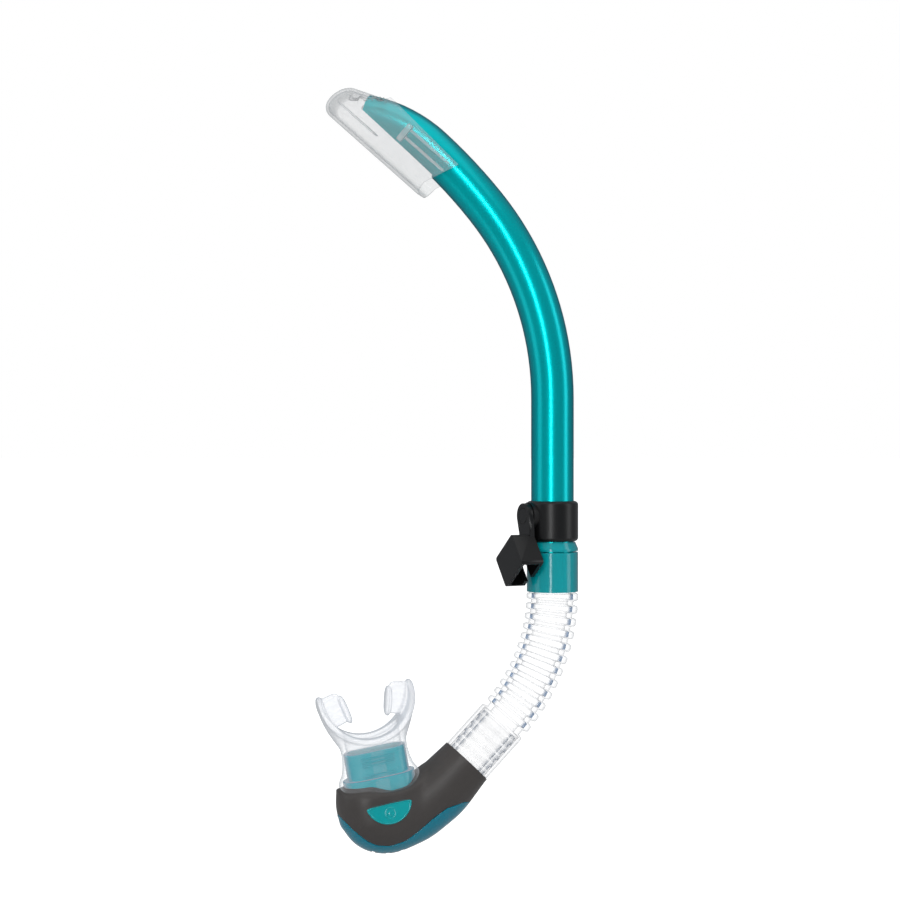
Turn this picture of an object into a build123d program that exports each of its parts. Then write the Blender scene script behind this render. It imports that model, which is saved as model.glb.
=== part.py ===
from build123d import *
import math
import os

# A snorkel: a bent barrel with a clear splash guard on its tip, a keeper that holds it to a mask
# strap, and a ribbed silicone hose that carries a purge chamber with its mouthpiece.
# The barrel bends in the XZ plane. The origin is on the barrel's axis, in the middle of the keeper.

# Barrel
TUBE_OD = 23.0
TUBE_WALL = 1.5
TUBE_BOTTOM_Z = -28.5
STRAIGHT_TOP_Z = 66.0
LOWER_BEND_R = 168.0
LOWER_BEND_DEG = 38.5
MIDDLE_BEND_R = 300.0
MIDDLE_BEND_DEG = 8.5
TIP_BEND_R = 78.0
TIP_BEND_DEG = 30.5
TIP_CUT_DEG = 46.5
TIP_CUT_LENGTH = 51.0
TIP_CUT_RISE = 1.2
SNAP_LIP = 0.8
SNAP_LIP_HEIGHT = 1.5

# Splash guard, in its own axes: "along" runs up its back from the open rim, "in" points at the barrel
GUARD_SIDE_GAP = 3.25
GUARD_WALL = 1.5
GUARD_LENGTH = 72.5
GUARD_SLOPE_DEG = 48.2
GUARD_BACK_GAP = 23.4
GUARD_SEAT = 12.6
GUARD_DEPTH = 27.0
GUARD_NOTCH_AT = 44.5
GUARD_RIM_SKEW = 8.2
GUARD_CORNER_R = 9.5
GUARD_END_R = 5.0
GUARD_EAR = 3.0
GUARD_NOTCH_WIDTH = 2.0
GUARD_ROOF_LENGTH = 15.0
GUARD_ROOF_DROP = 3.5
GUARD_BROW_DROP = 7.5
GUARD_TIP_IN = 9.0
GUARD_TIP_SLANT = 1.0
RAIL_HEIGHT = 1.8
RAIL_PITCH = 5.0
RAIL_LENGTH = 28.0
RAIL_START = -4.0
RAIL_BITE = 1.0
STOP_LENGTH = 3.0

# Keeper
KEEPER_HEIGHT = 21.6
KEEPER_WALL = 2.4
LINER_WALL = 0.9
KEEPER_ROUND = 2.0
PIVOT_DEG = 38.3
PIVOT_Z = 3.0
PIN_R = 2.4
PIN_SKIN = 0.6
BOSS_R = 7.3
BOSS_HEIGHT = 3.7
EAR_R = 6.75
EAR_THICK = 3.0
BUTTON_HEAD_R = 4.3
BUTTON_HEAD = 1.6
CLIP_TURN_DEG = -52.0
CLIP_LENGTH = 18.8
CLIP_WIDTH = 23.0
CLIP_DEPTH = 13.1
CLIP_WALL = 2.0
CLIP_CORNER_R = 1.6
CLIP_ALONG = 20.3
CLIP_ACROSS = -12.3
CLIP_MOUTH = 3.6
CLIP_LIP = 5.6
CLIP_LIP_RISE = 2.0
ARM_INSET = 3.0
ARM_CORNER_R = 2.5
ARM_CORNERS = (3.5, 9.0)

# Swivel coupler
COUPLER_WALL = 2.35
COUPLER_HEIGHT = 21.3
COUPLER_ROUND = 0.6
RING_HEIGHT = 4.7
RING_CHAMFER = 3.5
RING_GAP = 0.6
KEEPER_TO_RING = 0.5
COUPLER_WEB = 1.3
SEAL_CORD = 1.3
SEAL_DROP = 4.0
SEAL_PLAY = 0.1

# Hose
HOSE_WALL = 3.0
RIB_HEIGHT = 2.5
HOSE_BEND_R = 100.0
HOSE_BEND_DEG = 43.6
RIB_COUNT = 12
RIB_WIDTH = 4.2
RIB_ROUND = 1.1
FIRST_RIB = 2.7
CUFF_LENGTH = 28.9
CUFF_OD = 28.2
CUFF_BORE = 24.6

# Barbed connector in the cuff
CONNECTOR_BORE = 18.0
CONNECTOR_WALL = 2.3
CONNECTOR_TAIL = 9.0
BARB_PITCH = 5.3
BARB_COUNT = 4
BARB_LENGTH = 3.4
FIRST_BARB = 1.0

# Purge chamber. It turns with the hose about the barrel's axis by TWIST_DEG.
TWIST_DEG = 24.0
SKIN = 1.4
CHAMBER_WALL = 1.5
SLEEVE_R = 14.4
BOOT_REACH = 70.4
BOOT_DROP = 47.7
BOOT_HALF_WIDTH = 17.2
FLOOR_ABOVE_KEEL = 11.0
FLOOR_THICK = 1.6
VALVE_BACK = 43.5
VALVE_R = 8.3
VALVE_THICK = 0.8
VALVE_LIFT = 1.5
STEM_R = 1.0
BEAD_R = 1.7
HUB_R = 2.4
FLAP_GAP = 0.1
SEAT_BORE_R = 6.8
SEAT_RING_R = 8.6
SEAT_FLANGE_R = 10.2
SEAT_DROP = 1.2
SEAT_FLANGE = 1.0
SPOKE_WIDTH = 1.4
DRAIN_SLOT = 2.6
DRAIN_LENGTH = 13.3
DRAIN_PITCH = 7.8
DRAIN_SLOTS = 3
BADGE_WIDTH = 25.0
BADGE_HEIGHT = 10.5
BADGE_BACK = 45.2
BADGE_DROP = 15.7
BADGE_HOLLOW = 0.8
BADGE_CORNER_R = 1.8

# Mouthpiece and its port
MOUTH_TILT_DEG = 10.0
MOUTH_BACK = 46.8
MOUTH_DROP = 11.5
PORT_HALF_LENGTH = 16.6
PORT_HALF_DEPTH = 8.0
PORT_WALL = 1.7
PORT_HEIGHT = 20.0
PORT_FLANGE = 2.6
PORT_FLANGE_HEIGHT = 6.0
GRIP_RIB = 0.6
GRIP_RIB_DROPS = (3.0, 5.0, 7.0, 12.0)
BITE_HEIGHT = 53.0
BITE_HALF_SPAN = 26.2
NECK_SIDE = 1.2
NECK_FACE = 1.8
FLARE_HEIGHT = 31.8
FLARE_IN = 5.5
FLARE_FACE = 1.5
SILICONE = 2.0
BASE_HALF_LENGTH = 21.6
BASE_HALF_DEPTH = 13.4
BITE_PLATE = 3.0
PLATE_LOW = 36.8
PLATE_TOP = 50.5
PLATE_IN = 10.0
PLATE_OUT = 22.6
PLATE_LEAN = 4.0
BLADE_HALF = 1.0
COLLAR_MARGIN = 1.6
COLLAR_BELOW = 2.4
COLLAR_DEPTH = 15.0

# Clearances
RUNNING = 0.05
PRESS = 0.02
FREE = 0.3


def polar(radius, heading):
    """A point in the XZ plane that far from the centre of a bend whose path has this heading."""
    angle = math.radians(heading)
    return Vector(radius * math.cos(angle), 0, radius * math.sin(angle))


def bend(start, heading, radius, sweep_deg):
    """An arc that leaves start with this heading, measured from +Z towards -X, and its end."""
    centre = start - polar(radius, heading)
    middle = centre + polar(radius, heading + sweep_deg / 2)
    end = centre + polar(radius, heading + sweep_deg)
    return ThreePointArc(start, middle, end), end


def pipe(path, radius, start_z_dir):
    """A round bar along a path."""
    section = Plane(origin=path @ 0, z_dir=start_z_dir) * Circle(radius)
    return sweep(section, path=path)


def rod(radius, low, high):
    """A round bar about the Z axis between two heights."""
    return Pos(0, 0, (low + high) / 2) * Cylinder(radius, high - low)


def ring(outer_r, inner_r, low, high):
    """A ring about the Z axis between two heights."""
    return rod(outer_r, low, high) - rod(inner_r, low - 1, high + 1)


def rod_along(start, end, radius):
    """A round bar between two points of the XZ plane."""
    reach = end - start
    return Location(Plane(origin=start, z_dir=reach)) * rod(radius, 0, reach.length)


def stadium(half_length, half_depth, low, high):
    """An upright prism with a stadium outline, long in X."""
    outline = SlotOverall(2 * half_length, 2 * half_depth)
    return Pos(0, 0, low) * extrude(outline, high - low)


def save(node, solid):
    """Write one sub-part."""
    solids = solid.solids()
    shape = solids[0] if len(solids) == 1 else Compound(children=list(solids))
    print(node, len(solids), round(sum(s.volume for s in solids)))
    export_step(shape, os.path.join("parts", node + ".step"))


os.makedirs("parts", exist_ok=True)

# ---------------------------------------------------------------- barrel
tube_r = TUBE_OD / 2
guard_width = TUBE_OD + 2 * GUARD_SIDE_GAP
bore_r = tube_r - TUBE_WALL
tube_foot = Vector(0, 0, TUBE_BOTTOM_Z)
straight_top = Vector(0, 0, STRAIGHT_TOP_Z)
lower_arc, lower_end = bend(straight_top, 0, LOWER_BEND_R, LOWER_BEND_DEG)
middle_heading = LOWER_BEND_DEG + MIDDLE_BEND_DEG
middle_arc, middle_end = bend(lower_end, LOWER_BEND_DEG, MIDDLE_BEND_R, MIDDLE_BEND_DEG)
tip_arc, tip_end = bend(middle_end, middle_heading, TIP_BEND_R, TIP_BEND_DEG)
straight = Line(tube_foot, straight_top)
tube_path = Wire([straight.edge(), lower_arc.edge(), middle_arc.edge(), tip_arc.edge()])
tube_outer = pipe(tube_path, tube_r, (0, 0, 1))
lip_r = tube_r + SNAP_LIP
snap_lip = ring(lip_r, bore_r, TUBE_BOTTOM_Z, TUBE_BOTTOM_Z + SNAP_LIP_HEIGHT)
tube_solid = tube_outer - pipe(tube_path, bore_r, (0, 0, 1)) + snap_lip

# The tip is cut away obliquely on its inner side, from its centre down to a step.
cut_dir = Vector(math.sin(math.radians(TIP_CUT_DEG)), 0, -math.cos(math.radians(TIP_CUT_DEG)))
cut_origin = tip_end + Vector(-cut_dir.Z, 0, cut_dir.X) * TIP_CUT_RISE
cut_plane = Plane(origin=cut_origin, x_dir=cut_dir, z_dir=(0, -1, 0))
cut_centre = Pos((TIP_CUT_LENGTH - TUBE_OD) / 2, -TUBE_OD)
cut_sketch = cut_centre * Rectangle(TIP_CUT_LENGTH + TUBE_OD, 2 * TUBE_OD)
tip_window = extrude(cut_plane * cut_sketch, TUBE_OD, both=True)
barrel_tube = tube_solid - tip_window
save("barrel_tube", barrel_tube)

# ---------------------------------------------------------------- splash guard
# guard_plane: x runs up the guard's back, y points into the barrel, z across it.
along = Vector(-math.sin(math.radians(GUARD_SLOPE_DEG)), 0, math.cos(math.radians(GUARD_SLOPE_DEG)))
inward = Vector(math.cos(math.radians(GUARD_SLOPE_DEG)), 0, math.sin(math.radians(GUARD_SLOPE_DEG)))
guard_seat = middle_end - along * GUARD_SEAT
guard_origin = guard_seat - inward * GUARD_BACK_GAP
guard_plane = Plane(origin=guard_origin, x_dir=along, z_dir=along.cross(inward))


def guard_form(outline, inset):
    """A closed side outline carried across the guard, rounded in section and in plan."""
    side = extrude(guard_plane * make_face(Polyline(*outline, close=True)), guard_width, both=True)
    width = guard_width - 2 * inset
    reach = 2 * GUARD_LENGTH
    section = Rectangle(width, reach, align=(Align.CENTER, Align.MIN))
    section = fillet(section.vertices().sort_by(Axis.Y)[:2], GUARD_CORNER_R - inset)
    section_plane = Plane(origin=guard_origin + inward * inset, x_dir=guard_plane.z_dir, z_dir=-along)
    trough = extrude(section_plane * section, reach, both=True)
    plan = Rectangle(2 * reach, width, align=(Align.MAX, Align.CENTER))
    plan = fillet(plan.vertices().sort_by(Axis.X)[-2:], GUARD_CORNER_R - inset)
    plan_origin = guard_origin + along * (GUARD_LENGTH - inset)
    plan_plane = Plane(origin=plan_origin, x_dir=along, z_dir=inward)
    return side & trough & extrude(plan_plane * plan, reach, both=True)


roof_at = GUARD_LENGTH - GUARD_ROOF_LENGTH
roof_in = GUARD_DEPTH - GUARD_ROOF_DROP
brow_at = GUARD_LENGTH - GUARD_END_R
brow_in = GUARD_DEPTH - GUARD_BROW_DROP
back_end = GUARD_LENGTH - GUARD_TIP_SLANT
guard_outline = [
    (0, 0),
    (-GUARD_RIM_SKEW, GUARD_DEPTH),
    (GUARD_NOTCH_AT, GUARD_DEPTH + GUARD_EAR),
    (GUARD_NOTCH_AT + GUARD_NOTCH_WIDTH, GUARD_DEPTH),
    (roof_at, roof_in),
    (brow_at, brow_in),
    (GUARD_LENGTH, GUARD_TIP_IN),
    (back_end, 0),
]
hollow_outline = [
    (-guard_width, GUARD_WALL),
    (-guard_width, 2 * GUARD_DEPTH),
    (roof_at, 2 * GUARD_DEPTH),
    (roof_at, roof_in - GUARD_WALL),
    (brow_at - GUARD_WALL, brow_in - GUARD_WALL),
    (GUARD_LENGTH - GUARD_WALL, GUARD_TIP_IN),
    (back_end - GUARD_WALL, GUARD_WALL),
]
splash_guard = guard_form(guard_outline, 0) - guard_form(hollow_outline, GUARD_WALL)
# Two rails and a stop on each side wall grip the barrel's flanks.
side_inner = guard_width / 2 - GUARD_WALL
rail_reach = side_inner - tube_r + RAIL_BITE
rails_in = GUARD_BACK_GAP - RAIL_BITE
for side in (-1, 1):
    across = side * (side_inner - rail_reach / 2)
    for rail in (-0.5, 0.5):
        rail_place = Pos(RAIL_LENGTH / 2 + RAIL_START, rails_in + rail * RAIL_PITCH, across)
        splash_guard += Location(guard_plane) * rail_place * Box(RAIL_LENGTH, RAIL_HEIGHT, rail_reach)
    stop_place = Pos(RAIL_LENGTH - STOP_LENGTH, rails_in, across)
    splash_guard += Location(guard_plane) * stop_place * Box(STOP_LENGTH, 2 * RAIL_PITCH, rail_reach)
splash_guard -= tube_outer
save("splash_guard", splash_guard)

# ---------------------------------------------------------------- keeper
liner_inner = tube_r + RUNNING
liner_outer = liner_inner + LINER_WALL
half_keeper = KEEPER_HEIGHT / 2
keeper_liner = ring(liner_outer, liner_inner, -half_keeper, half_keeper)
save("keeper_liner", keeper_liner)

out = Vector(-math.cos(math.radians(PIVOT_DEG)), -math.sin(math.radians(PIVOT_DEG)), 0)
sideways = Vector(math.sin(math.radians(PIVOT_DEG)), -math.cos(math.radians(PIVOT_DEG)), 0)
pivot = Location(Plane(origin=(0, 0, PIVOT_Z), x_dir=sideways, z_dir=out))


def disc(radius, low, high):
    """A round block on the pivot's axis between two distances from the barrel's axis."""
    return pivot * rod(radius, low, high)


keeper_r = tube_r + KEEPER_WALL
boss_face = tube_r + BOSS_HEIGHT
band = Cylinder(keeper_r, KEEPER_HEIGHT)
band = fillet(band.edges(), KEEPER_ROUND)
boss = disc(BOSS_R, tube_r, boss_face)
keeper_collar = band + boss - Cylinder(liner_outer + RUNNING, 2 * KEEPER_HEIGHT)
pin_foot = liner_outer + RUNNING + PIN_SKIN
keeper_collar -= disc(PIN_R, pin_foot, boss_face + 1)
save("keeper_collar", keeper_collar)

ear_low = boss_face + RUNNING
ear_high = ear_low + EAR_THICK
head_low = ear_high - BUTTON_HEAD + 2 * RUNNING
head_high = head_low + BUTTON_HEAD
button_head = fillet(Cylinder(BUTTON_HEAD_R, BUTTON_HEAD).edges().sort_by(Axis.Z)[-1:], BUTTON_HEAD / 3)
button_head = pivot * Pos(0, 0, (head_low + head_high) / 2) * button_head
pivot_button = disc(PIN_R - PRESS, pin_foot, head_low + BUTTON_HEAD / 2) + button_head
save("pivot_button", pivot_button)

# The clip's frame at the pivot: x along the strap, y across it, z away from the barrel.
clip_frame = pivot * Rot(0, 0, CLIP_TURN_DEG)
clip_top = CLIP_ACROSS + CLIP_WIDTH / 2
clip_foot = CLIP_ACROSS - CLIP_WIDTH / 2
clip_face = ear_low + CLIP_DEPTH


def clip_block(across_low, across_high, out_low, out_high):
    """A block as long as the clip, between two distances across the strap and two outwards."""
    size_y = across_high - across_low
    size_z = out_high - out_low
    centre = Pos(CLIP_ALONG, (across_low + across_high) / 2, (out_low + out_high) / 2)
    return centre * Box(CLIP_LENGTH, size_y, size_z)


lip_low = ear_low + CLIP_LIP_RISE
shank_end = clip_foot + CLIP_LIP + CLIP_MOUTH
channel = clip_block(clip_foot, clip_top, clip_face - CLIP_WALL, clip_face)
channel += clip_block(clip_top - CLIP_WALL, clip_top, ear_low, clip_face)
channel += clip_block(clip_foot, clip_foot + CLIP_WALL, lip_low, clip_face)
channel += clip_block(clip_foot, clip_foot + CLIP_LIP, lip_low, lip_low + CLIP_WALL)
channel += clip_block(shank_end, clip_top, ear_low, ear_low + CLIP_WALL)
rounded_plan = Pos(CLIP_ALONG, CLIP_ACROSS) * RectangleRounded(CLIP_LENGTH, CLIP_WIDTH, CLIP_CORNER_R)
channel = channel & extrude(rounded_plan, 2 * clip_face)
ear_edges = [*Circle(EAR_R).edges()]
arm_reach = CLIP_ALONG - CLIP_LENGTH / 2 + ARM_INSET
for corner in ARM_CORNERS:
    ear_edges += (Pos(arm_reach, clip_top - corner) * Circle(ARM_CORNER_R)).edges()
ear_outline = make_hull(ear_edges)
arm = Pos(0, 0, ear_low) * extrude(ear_outline, EAR_THICK)
strap_clip = clip_frame * (channel + arm)
strap_clip -= disc(PIN_R + RUNNING, 0, 2 * clip_face)
strap_clip -= disc(BUTTON_HEAD_R + 2 * RUNNING, head_low - RUNNING, clip_face)
save("strap_clip", strap_clip)

# ---------------------------------------------------------------- swivel coupler
coupler_r = tube_r + COUPLER_WALL
ring_top = -half_keeper - KEEPER_TO_RING
ring_foot = ring_top - RING_HEIGHT
shoulder = rod(coupler_r, ring_foot, ring_top).edges().sort_by(Axis.Z)[-1:]
barrel_ring = chamfer(shoulder, RING_CHAMFER, TUBE_WALL) - tube_outer
save("barrel_ring", barrel_ring)

coupler_top = ring_foot - RING_GAP
coupler_foot = coupler_top - COUPLER_HEIGHT
web_top = TUBE_BOTTOM_Z - RUNNING
web_foot = web_top - COUPLER_WEB
coupler_blank = rod(coupler_r, coupler_foot, coupler_top)
swivel_coupler = fillet(coupler_blank.edges().sort_by(Axis.Z)[-1:], COUPLER_ROUND)
swivel_coupler -= rod(tube_r + RUNNING, web_top, coupler_top + 1)
swivel_coupler -= rod(bore_r, coupler_foot - 1, coupler_top + 1)
lip_top = TUBE_BOTTOM_Z + SNAP_LIP_HEIGHT + RUNNING
swivel_coupler -= ring(lip_r + RUNNING, bore_r, web_top, lip_top)
seal_z = coupler_top - SEAL_DROP
seal_r = tube_r + SEAL_CORD / 2 + RUNNING
half_groove = SEAL_CORD / 2 + SEAL_PLAY
swivel_coupler -= ring(seal_r + SEAL_CORD / 2 + RUNNING, bore_r, seal_z - half_groove, seal_z + half_groove)
swivel_coupler -= rod(tube_r, coupler_foot - 1, web_foot)
save("swivel_coupler", swivel_coupler)
coupler_seal = Pos(0, 0, seal_z) * Torus(seal_r, SEAL_CORD / 2)
save("coupler_seal", coupler_seal)

# ---------------------------------------------------------------- hose
# The hose and the chamber are drawn in the XZ plane and turned about the barrel's axis at the end.
twist = Rot(0, 0, TWIST_DEG)
hose_top = Vector(0, 0, web_foot)
bend_start = Vector(0, 0, coupler_foot)
bend_centre = bend_start - Vector(HOSE_BEND_R, 0, 0)


def on_hose(angle, radius=HOSE_BEND_R):
    """A point that far round the hose's bend, in degrees, and that far from the bend's centre."""
    turn = math.radians(angle)
    return bend_centre + Vector(radius * math.cos(turn), 0, -radius * math.sin(turn))


bend_end = on_hose(HOSE_BEND_DEG)
end_turn = math.radians(HOSE_BEND_DEG)
down = Vector(-math.sin(end_turn), 0, -math.cos(end_turn))
inlet = bend_end + down * CUFF_LENGTH
cuff_end = inlet - down * FREE
hose_arc = ThreePointArc(bend_start, on_hose(HOSE_BEND_DEG / 2), bend_end)
hose_path = Wire([Line(hose_top, bend_start).edge(), hose_arc.edge(), Line(bend_end, cuff_end).edge()])
hose = pipe(hose_path, tube_r, (0, 0, -1))


rib_blank = fillet(Cylinder(tube_r + RIB_HEIGHT, RIB_WIDTH).edges(), RIB_ROUND)
hose_arc_length = math.radians(HOSE_BEND_DEG) * HOSE_BEND_R
rib_pitch = (hose_arc_length - FIRST_RIB - RIB_WIDTH / 2) / (RIB_COUNT - 0.5)
for index in range(RIB_COUNT):
    angle = math.degrees((FIRST_RIB + index * rib_pitch) / HOSE_BEND_R)
    hose += Location(Plane(origin=on_hose(angle), z_dir=on_hose(angle + 90) - bend_centre)) * rib_blank
hose += rod_along(bend_end, cuff_end, CUFF_OD / 2)
hose -= pipe(hose_path, tube_r - HOSE_WALL, (0, 0, -1))
hose -= rod_along(bend_end + down * CONNECTOR_WALL, inlet + down, CUFF_BORE / 2)
save("flex_hose", twist * hose)

connector_r = CONNECTOR_BORE / 2 + CONNECTOR_WALL
barb_r = CUFF_BORE / 2 - RUNNING
connector_top = bend_end + down * (CONNECTOR_WALL + FREE)
connector = rod_along(connector_top, inlet + down * CONNECTOR_TAIL, connector_r)
for index in range(BARB_COUNT):
    barb_top = connector_top + down * (FIRST_BARB + index * BARB_PITCH)
    barb_plane = Plane(origin=barb_top, z_dir=down)
    cone = Location(barb_plane) * Pos(0, 0, BARB_LENGTH / 2) * Cone(connector_r, barb_r, BARB_LENGTH)
    connector += cone
connector -= rod_along(connector_top - down, inlet + down * (CONNECTOR_TAIL + 1), CONNECTOR_BORE / 2)
save("hose_connector", twist * connector)

# ---------------------------------------------------------------- purge chamber
# Each station of the boot: its top and bottom, from the inlet's centre, and its half width. The
# stations past the fullest one are drawn towards the toe, so that the wall there keeps its thickness.
inlet_up = Vector(down.Z, 0, -down.X)
FULLEST = 4
STATIONS = [
    (inlet_up * SLEEVE_R, -inlet_up * SLEEVE_R, SLEEVE_R),
    (down * 9 + inlet_up * SLEEVE_R, down * 9 - inlet_up * SLEEVE_R, SLEEVE_R),
    (Vector(-23.5, 0, -4.7), Vector(-5.0, 0, -29.7), 15.6),
    (Vector(-33.5, 0, -11.2), Vector(-21.2, 0, -40.0), 16.6),
    (Vector(-44.5, 0, -13.7), Vector(-38.5, 0, -BOOT_DROP + 1.0), BOOT_HALF_WIDTH),
    (Vector(-55.5, 0, -14.2), Vector(-55.0, 0, -45.5), 16.6),
    (Vector(-64.0, 0, -13.2), Vector(-65.4, 0, -33.7), 13.0),
    (Vector(-BOOT_REACH + 0.7, 0, -13.7), Vector(-BOOT_REACH + 0.2, 0, -18.7), 3.5),
]


def boot_form(inset):
    """The boot's lofted form, drawn in by inset all round."""
    sections = []
    count = len(STATIONS)
    for index, (top, bottom, half_width) in enumerate(STATIONS):
        height = bottom - top
        toe_share = max(0, index - FULLEST) / (count - 1 - FULLEST)
        centre = inlet + (top + bottom) / 2 + Vector(inset * toe_share, 0, 0)
        plane = Plane(origin=centre, x_dir=(0, 1, 0), z_dir=Vector(0, 1, 0).cross(height))
        half_height = height.length / 2
        shrink = inset if index < count - 1 else inset * half_height / SLEEVE_R
        sections.append(plane * Ellipse(half_width - shrink, half_height - shrink))
    return loft(sections)


mouth_at = inlet - Vector(MOUTH_BACK, 0, MOUTH_DROP)
tilt = math.radians(MOUTH_TILT_DEG)
mouth_up = Vector(-math.sin(tilt), 0, math.cos(tilt))
mouth = Location(Plane(origin=mouth_at, x_dir=(math.cos(tilt), 0, math.sin(tilt)), z_dir=mouth_up))


def boot_with_collar(inset):
    """The boot's form with the raised collar that the mouthpiece's base stands in."""
    half_length = BASE_HALF_LENGTH + COLLAR_MARGIN - inset
    half_depth = BASE_HALF_DEPTH + COLLAR_MARGIN - inset
    return boot_form(inset) + mouth * stadium(half_length, half_depth, -COLLAR_DEPTH, -COLLAR_BELOW - inset)


boot_outer = boot_with_collar(0)
boot_middle = boot_with_collar(SKIN)
boot_inner = boot_with_collar(SKIN + CHAMBER_WALL)

# The skin is a grip shell above and a purge cover below, parted along a wave.
wave = Spline(
    inlet + Vector(-BOOT_REACH - 6, 0, -19.0),
    inlet + Vector(-BOOT_REACH + 1.4, 0, -26.4),
    inlet + Vector(-57.5, 0, -37.3),
    inlet + Vector(-44.0, 0, -41.1),
    inlet + Vector(-28.4, 0, -32.9),
    inlet + Vector(-13.9, 0, -21.9),
    inlet + Vector(3.0, 0, -20.5),
)
wave_base = Polyline(wave @ 1, wave @ 1 - Vector(0, 0, 40), wave @ 0 - Vector(0, 0, 40), wave @ 0)
below_wave = extrude(make_face([*wave.edges(), *wave_base.edges()]), 2 * BOOT_HALF_WIDTH, both=True)
boot_skin = boot_outer - boot_middle

keel = inlet.Z - BOOT_DROP
floor_z = keel + FLOOR_ABOVE_KEEL
valve_x = inlet.X - VALVE_BACK
valve_place = Pos(valve_x, 0, floor_z)

# Badge: a shallow bowl outline, flat on top, flush in the grip shell's near side.
badge_top = inlet - Vector(BADGE_BACK, 0, BADGE_DROP)
badge_plane = Plane(origin=badge_top, x_dir=(math.cos(tilt), 0, math.sin(tilt)), z_dir=(0, -1, 0))
badge_arc = ThreePointArc((-BADGE_WIDTH / 2, 0), (0, -BADGE_HEIGHT), (BADGE_WIDTH / 2, 0))
badge_lid = ThreePointArc((BADGE_WIDTH / 2, 0), (0, -BADGE_HOLLOW), (-BADGE_WIDTH / 2, 0))
badge_sketch = make_face([badge_arc.edge(), badge_lid.edge()])
badge_sketch = fillet(badge_sketch.vertices(), BADGE_CORNER_R)
badge_prism = extrude(badge_plane * badge_sketch, 2 * BOOT_HALF_WIDTH)
badge_insert = boot_skin & badge_prism
save("badge_insert", twist * badge_insert)

base_foot = -COLLAR_BELOW - SKIN
base_pocket = mouth * stadium(BASE_HALF_LENGTH + PRESS, BASE_HALF_DEPTH + PRESS, base_foot, 10)
grip_shell = boot_skin - below_wave - badge_prism - base_pocket
save("grip_shell", twist * grip_shell)

purge_cover = (boot_skin & below_wave) - base_pocket
for index in range(DRAIN_SLOTS):
    slot_x = valve_x + (index - (DRAIN_SLOTS - 1) / 2) * DRAIN_PITCH
    purge_cover -= Pos(slot_x, 0, keel) * Box(DRAIN_SLOT, DRAIN_LENGTH, 4 * SKIN)
save("purge_cover", twist * purge_cover)

# Chamber body: a shell above the floor, the floor with the valve's hole, and the mouthpiece's port.
above_floor = Pos(inlet.X - BOOT_REACH / 2, 0, floor_z) * Box(
    3 * BOOT_REACH, 3 * BOOT_HALF_WIDTH, 3 * BOOT_DROP, align=(Align.CENTER, Align.CENTER, Align.MIN)
)
floor_slab = Pos(inlet.X - BOOT_REACH / 2, 0, floor_z) * Box(
    3 * BOOT_REACH, 3 * BOOT_HALF_WIDTH, FLOOR_THICK, align=(Align.CENTER, Align.CENTER, Align.MIN)
)
chamber_body = (boot_middle - boot_inner) & above_floor
chamber_body += boot_middle & floor_slab
chamber_body -= base_pocket
port_low = base_foot - CHAMBER_WALL
flange_l = PORT_HALF_LENGTH + PORT_FLANGE
flange_d = PORT_HALF_DEPTH + PORT_FLANGE
port = stadium(PORT_HALF_LENGTH, PORT_HALF_DEPTH, port_low, PORT_HEIGHT)
port += stadium(flange_l, flange_d, port_low, PORT_FLANGE_HEIGHT)
grip_rib_length = 2 * (PORT_HALF_LENGTH - PORT_HALF_DEPTH)
for side in (-1, 1):
    for drop in GRIP_RIB_DROPS:
        rib_place = Pos(0, side * PORT_HALF_DEPTH, PORT_HEIGHT - drop)
        port += rib_place * Box(grip_rib_length, 2 * GRIP_RIB, GRIP_RIB)
chamber_body += mouth * port
port_bore_l = PORT_HALF_LENGTH - PORT_WALL
port_bore_d = PORT_HALF_DEPTH - PORT_WALL
chamber_body -= mouth * stadium(port_bore_l, port_bore_d, -COLLAR_DEPTH, PORT_HEIGHT + 1)
chamber_body -= rod_along(inlet - down, inlet + down * CONNECTOR_TAIL, connector_r + PRESS)
chamber_body -= valve_place * Cylinder(SEAT_RING_R + PRESS, 4 * FLOOR_THICK)
save("chamber_body", twist * chamber_body)

# Purge valve: a silicone flap under a spoked seat, held by a stem with a bead.
seat_low = -SEAT_DROP
seat_high = FLOOR_THICK
seat_mid = (seat_low + seat_high) / 2
seat_height = seat_high - seat_low
valve_seat = rod(SEAT_RING_R, seat_low, seat_high) + rod(SEAT_FLANGE_R, seat_high, seat_high + SEAT_FLANGE)
valve_seat -= rod(SEAT_BORE_R, seat_low - 1, seat_high + SEAT_FLANGE + 1)
for turn in (0, 60, 120):
    spoke = Box(SEAT_BORE_R + SEAT_RING_R, SPOKE_WIDTH, seat_height)
    valve_seat += Rot(0, 0, turn) * Pos(0, 0, seat_mid) * spoke
valve_seat += rod(HUB_R, seat_low, seat_high)
valve_seat -= rod(STEM_R + RUNNING, seat_low - 1, seat_high + 1)
save("valve_seat", twist * (valve_place * valve_seat))

flap_top = seat_low - FLAP_GAP
stem_top = seat_high + VALVE_LIFT + BEAD_R + FREE
purge_valve = rod(VALVE_R, flap_top - VALVE_THICK, flap_top) + rod(STEM_R, flap_top, stem_top)
purge_valve += Pos(0, 0, stem_top) * Sphere(BEAD_R)
save("purge_valve", twist * (valve_place * purge_valve))

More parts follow.
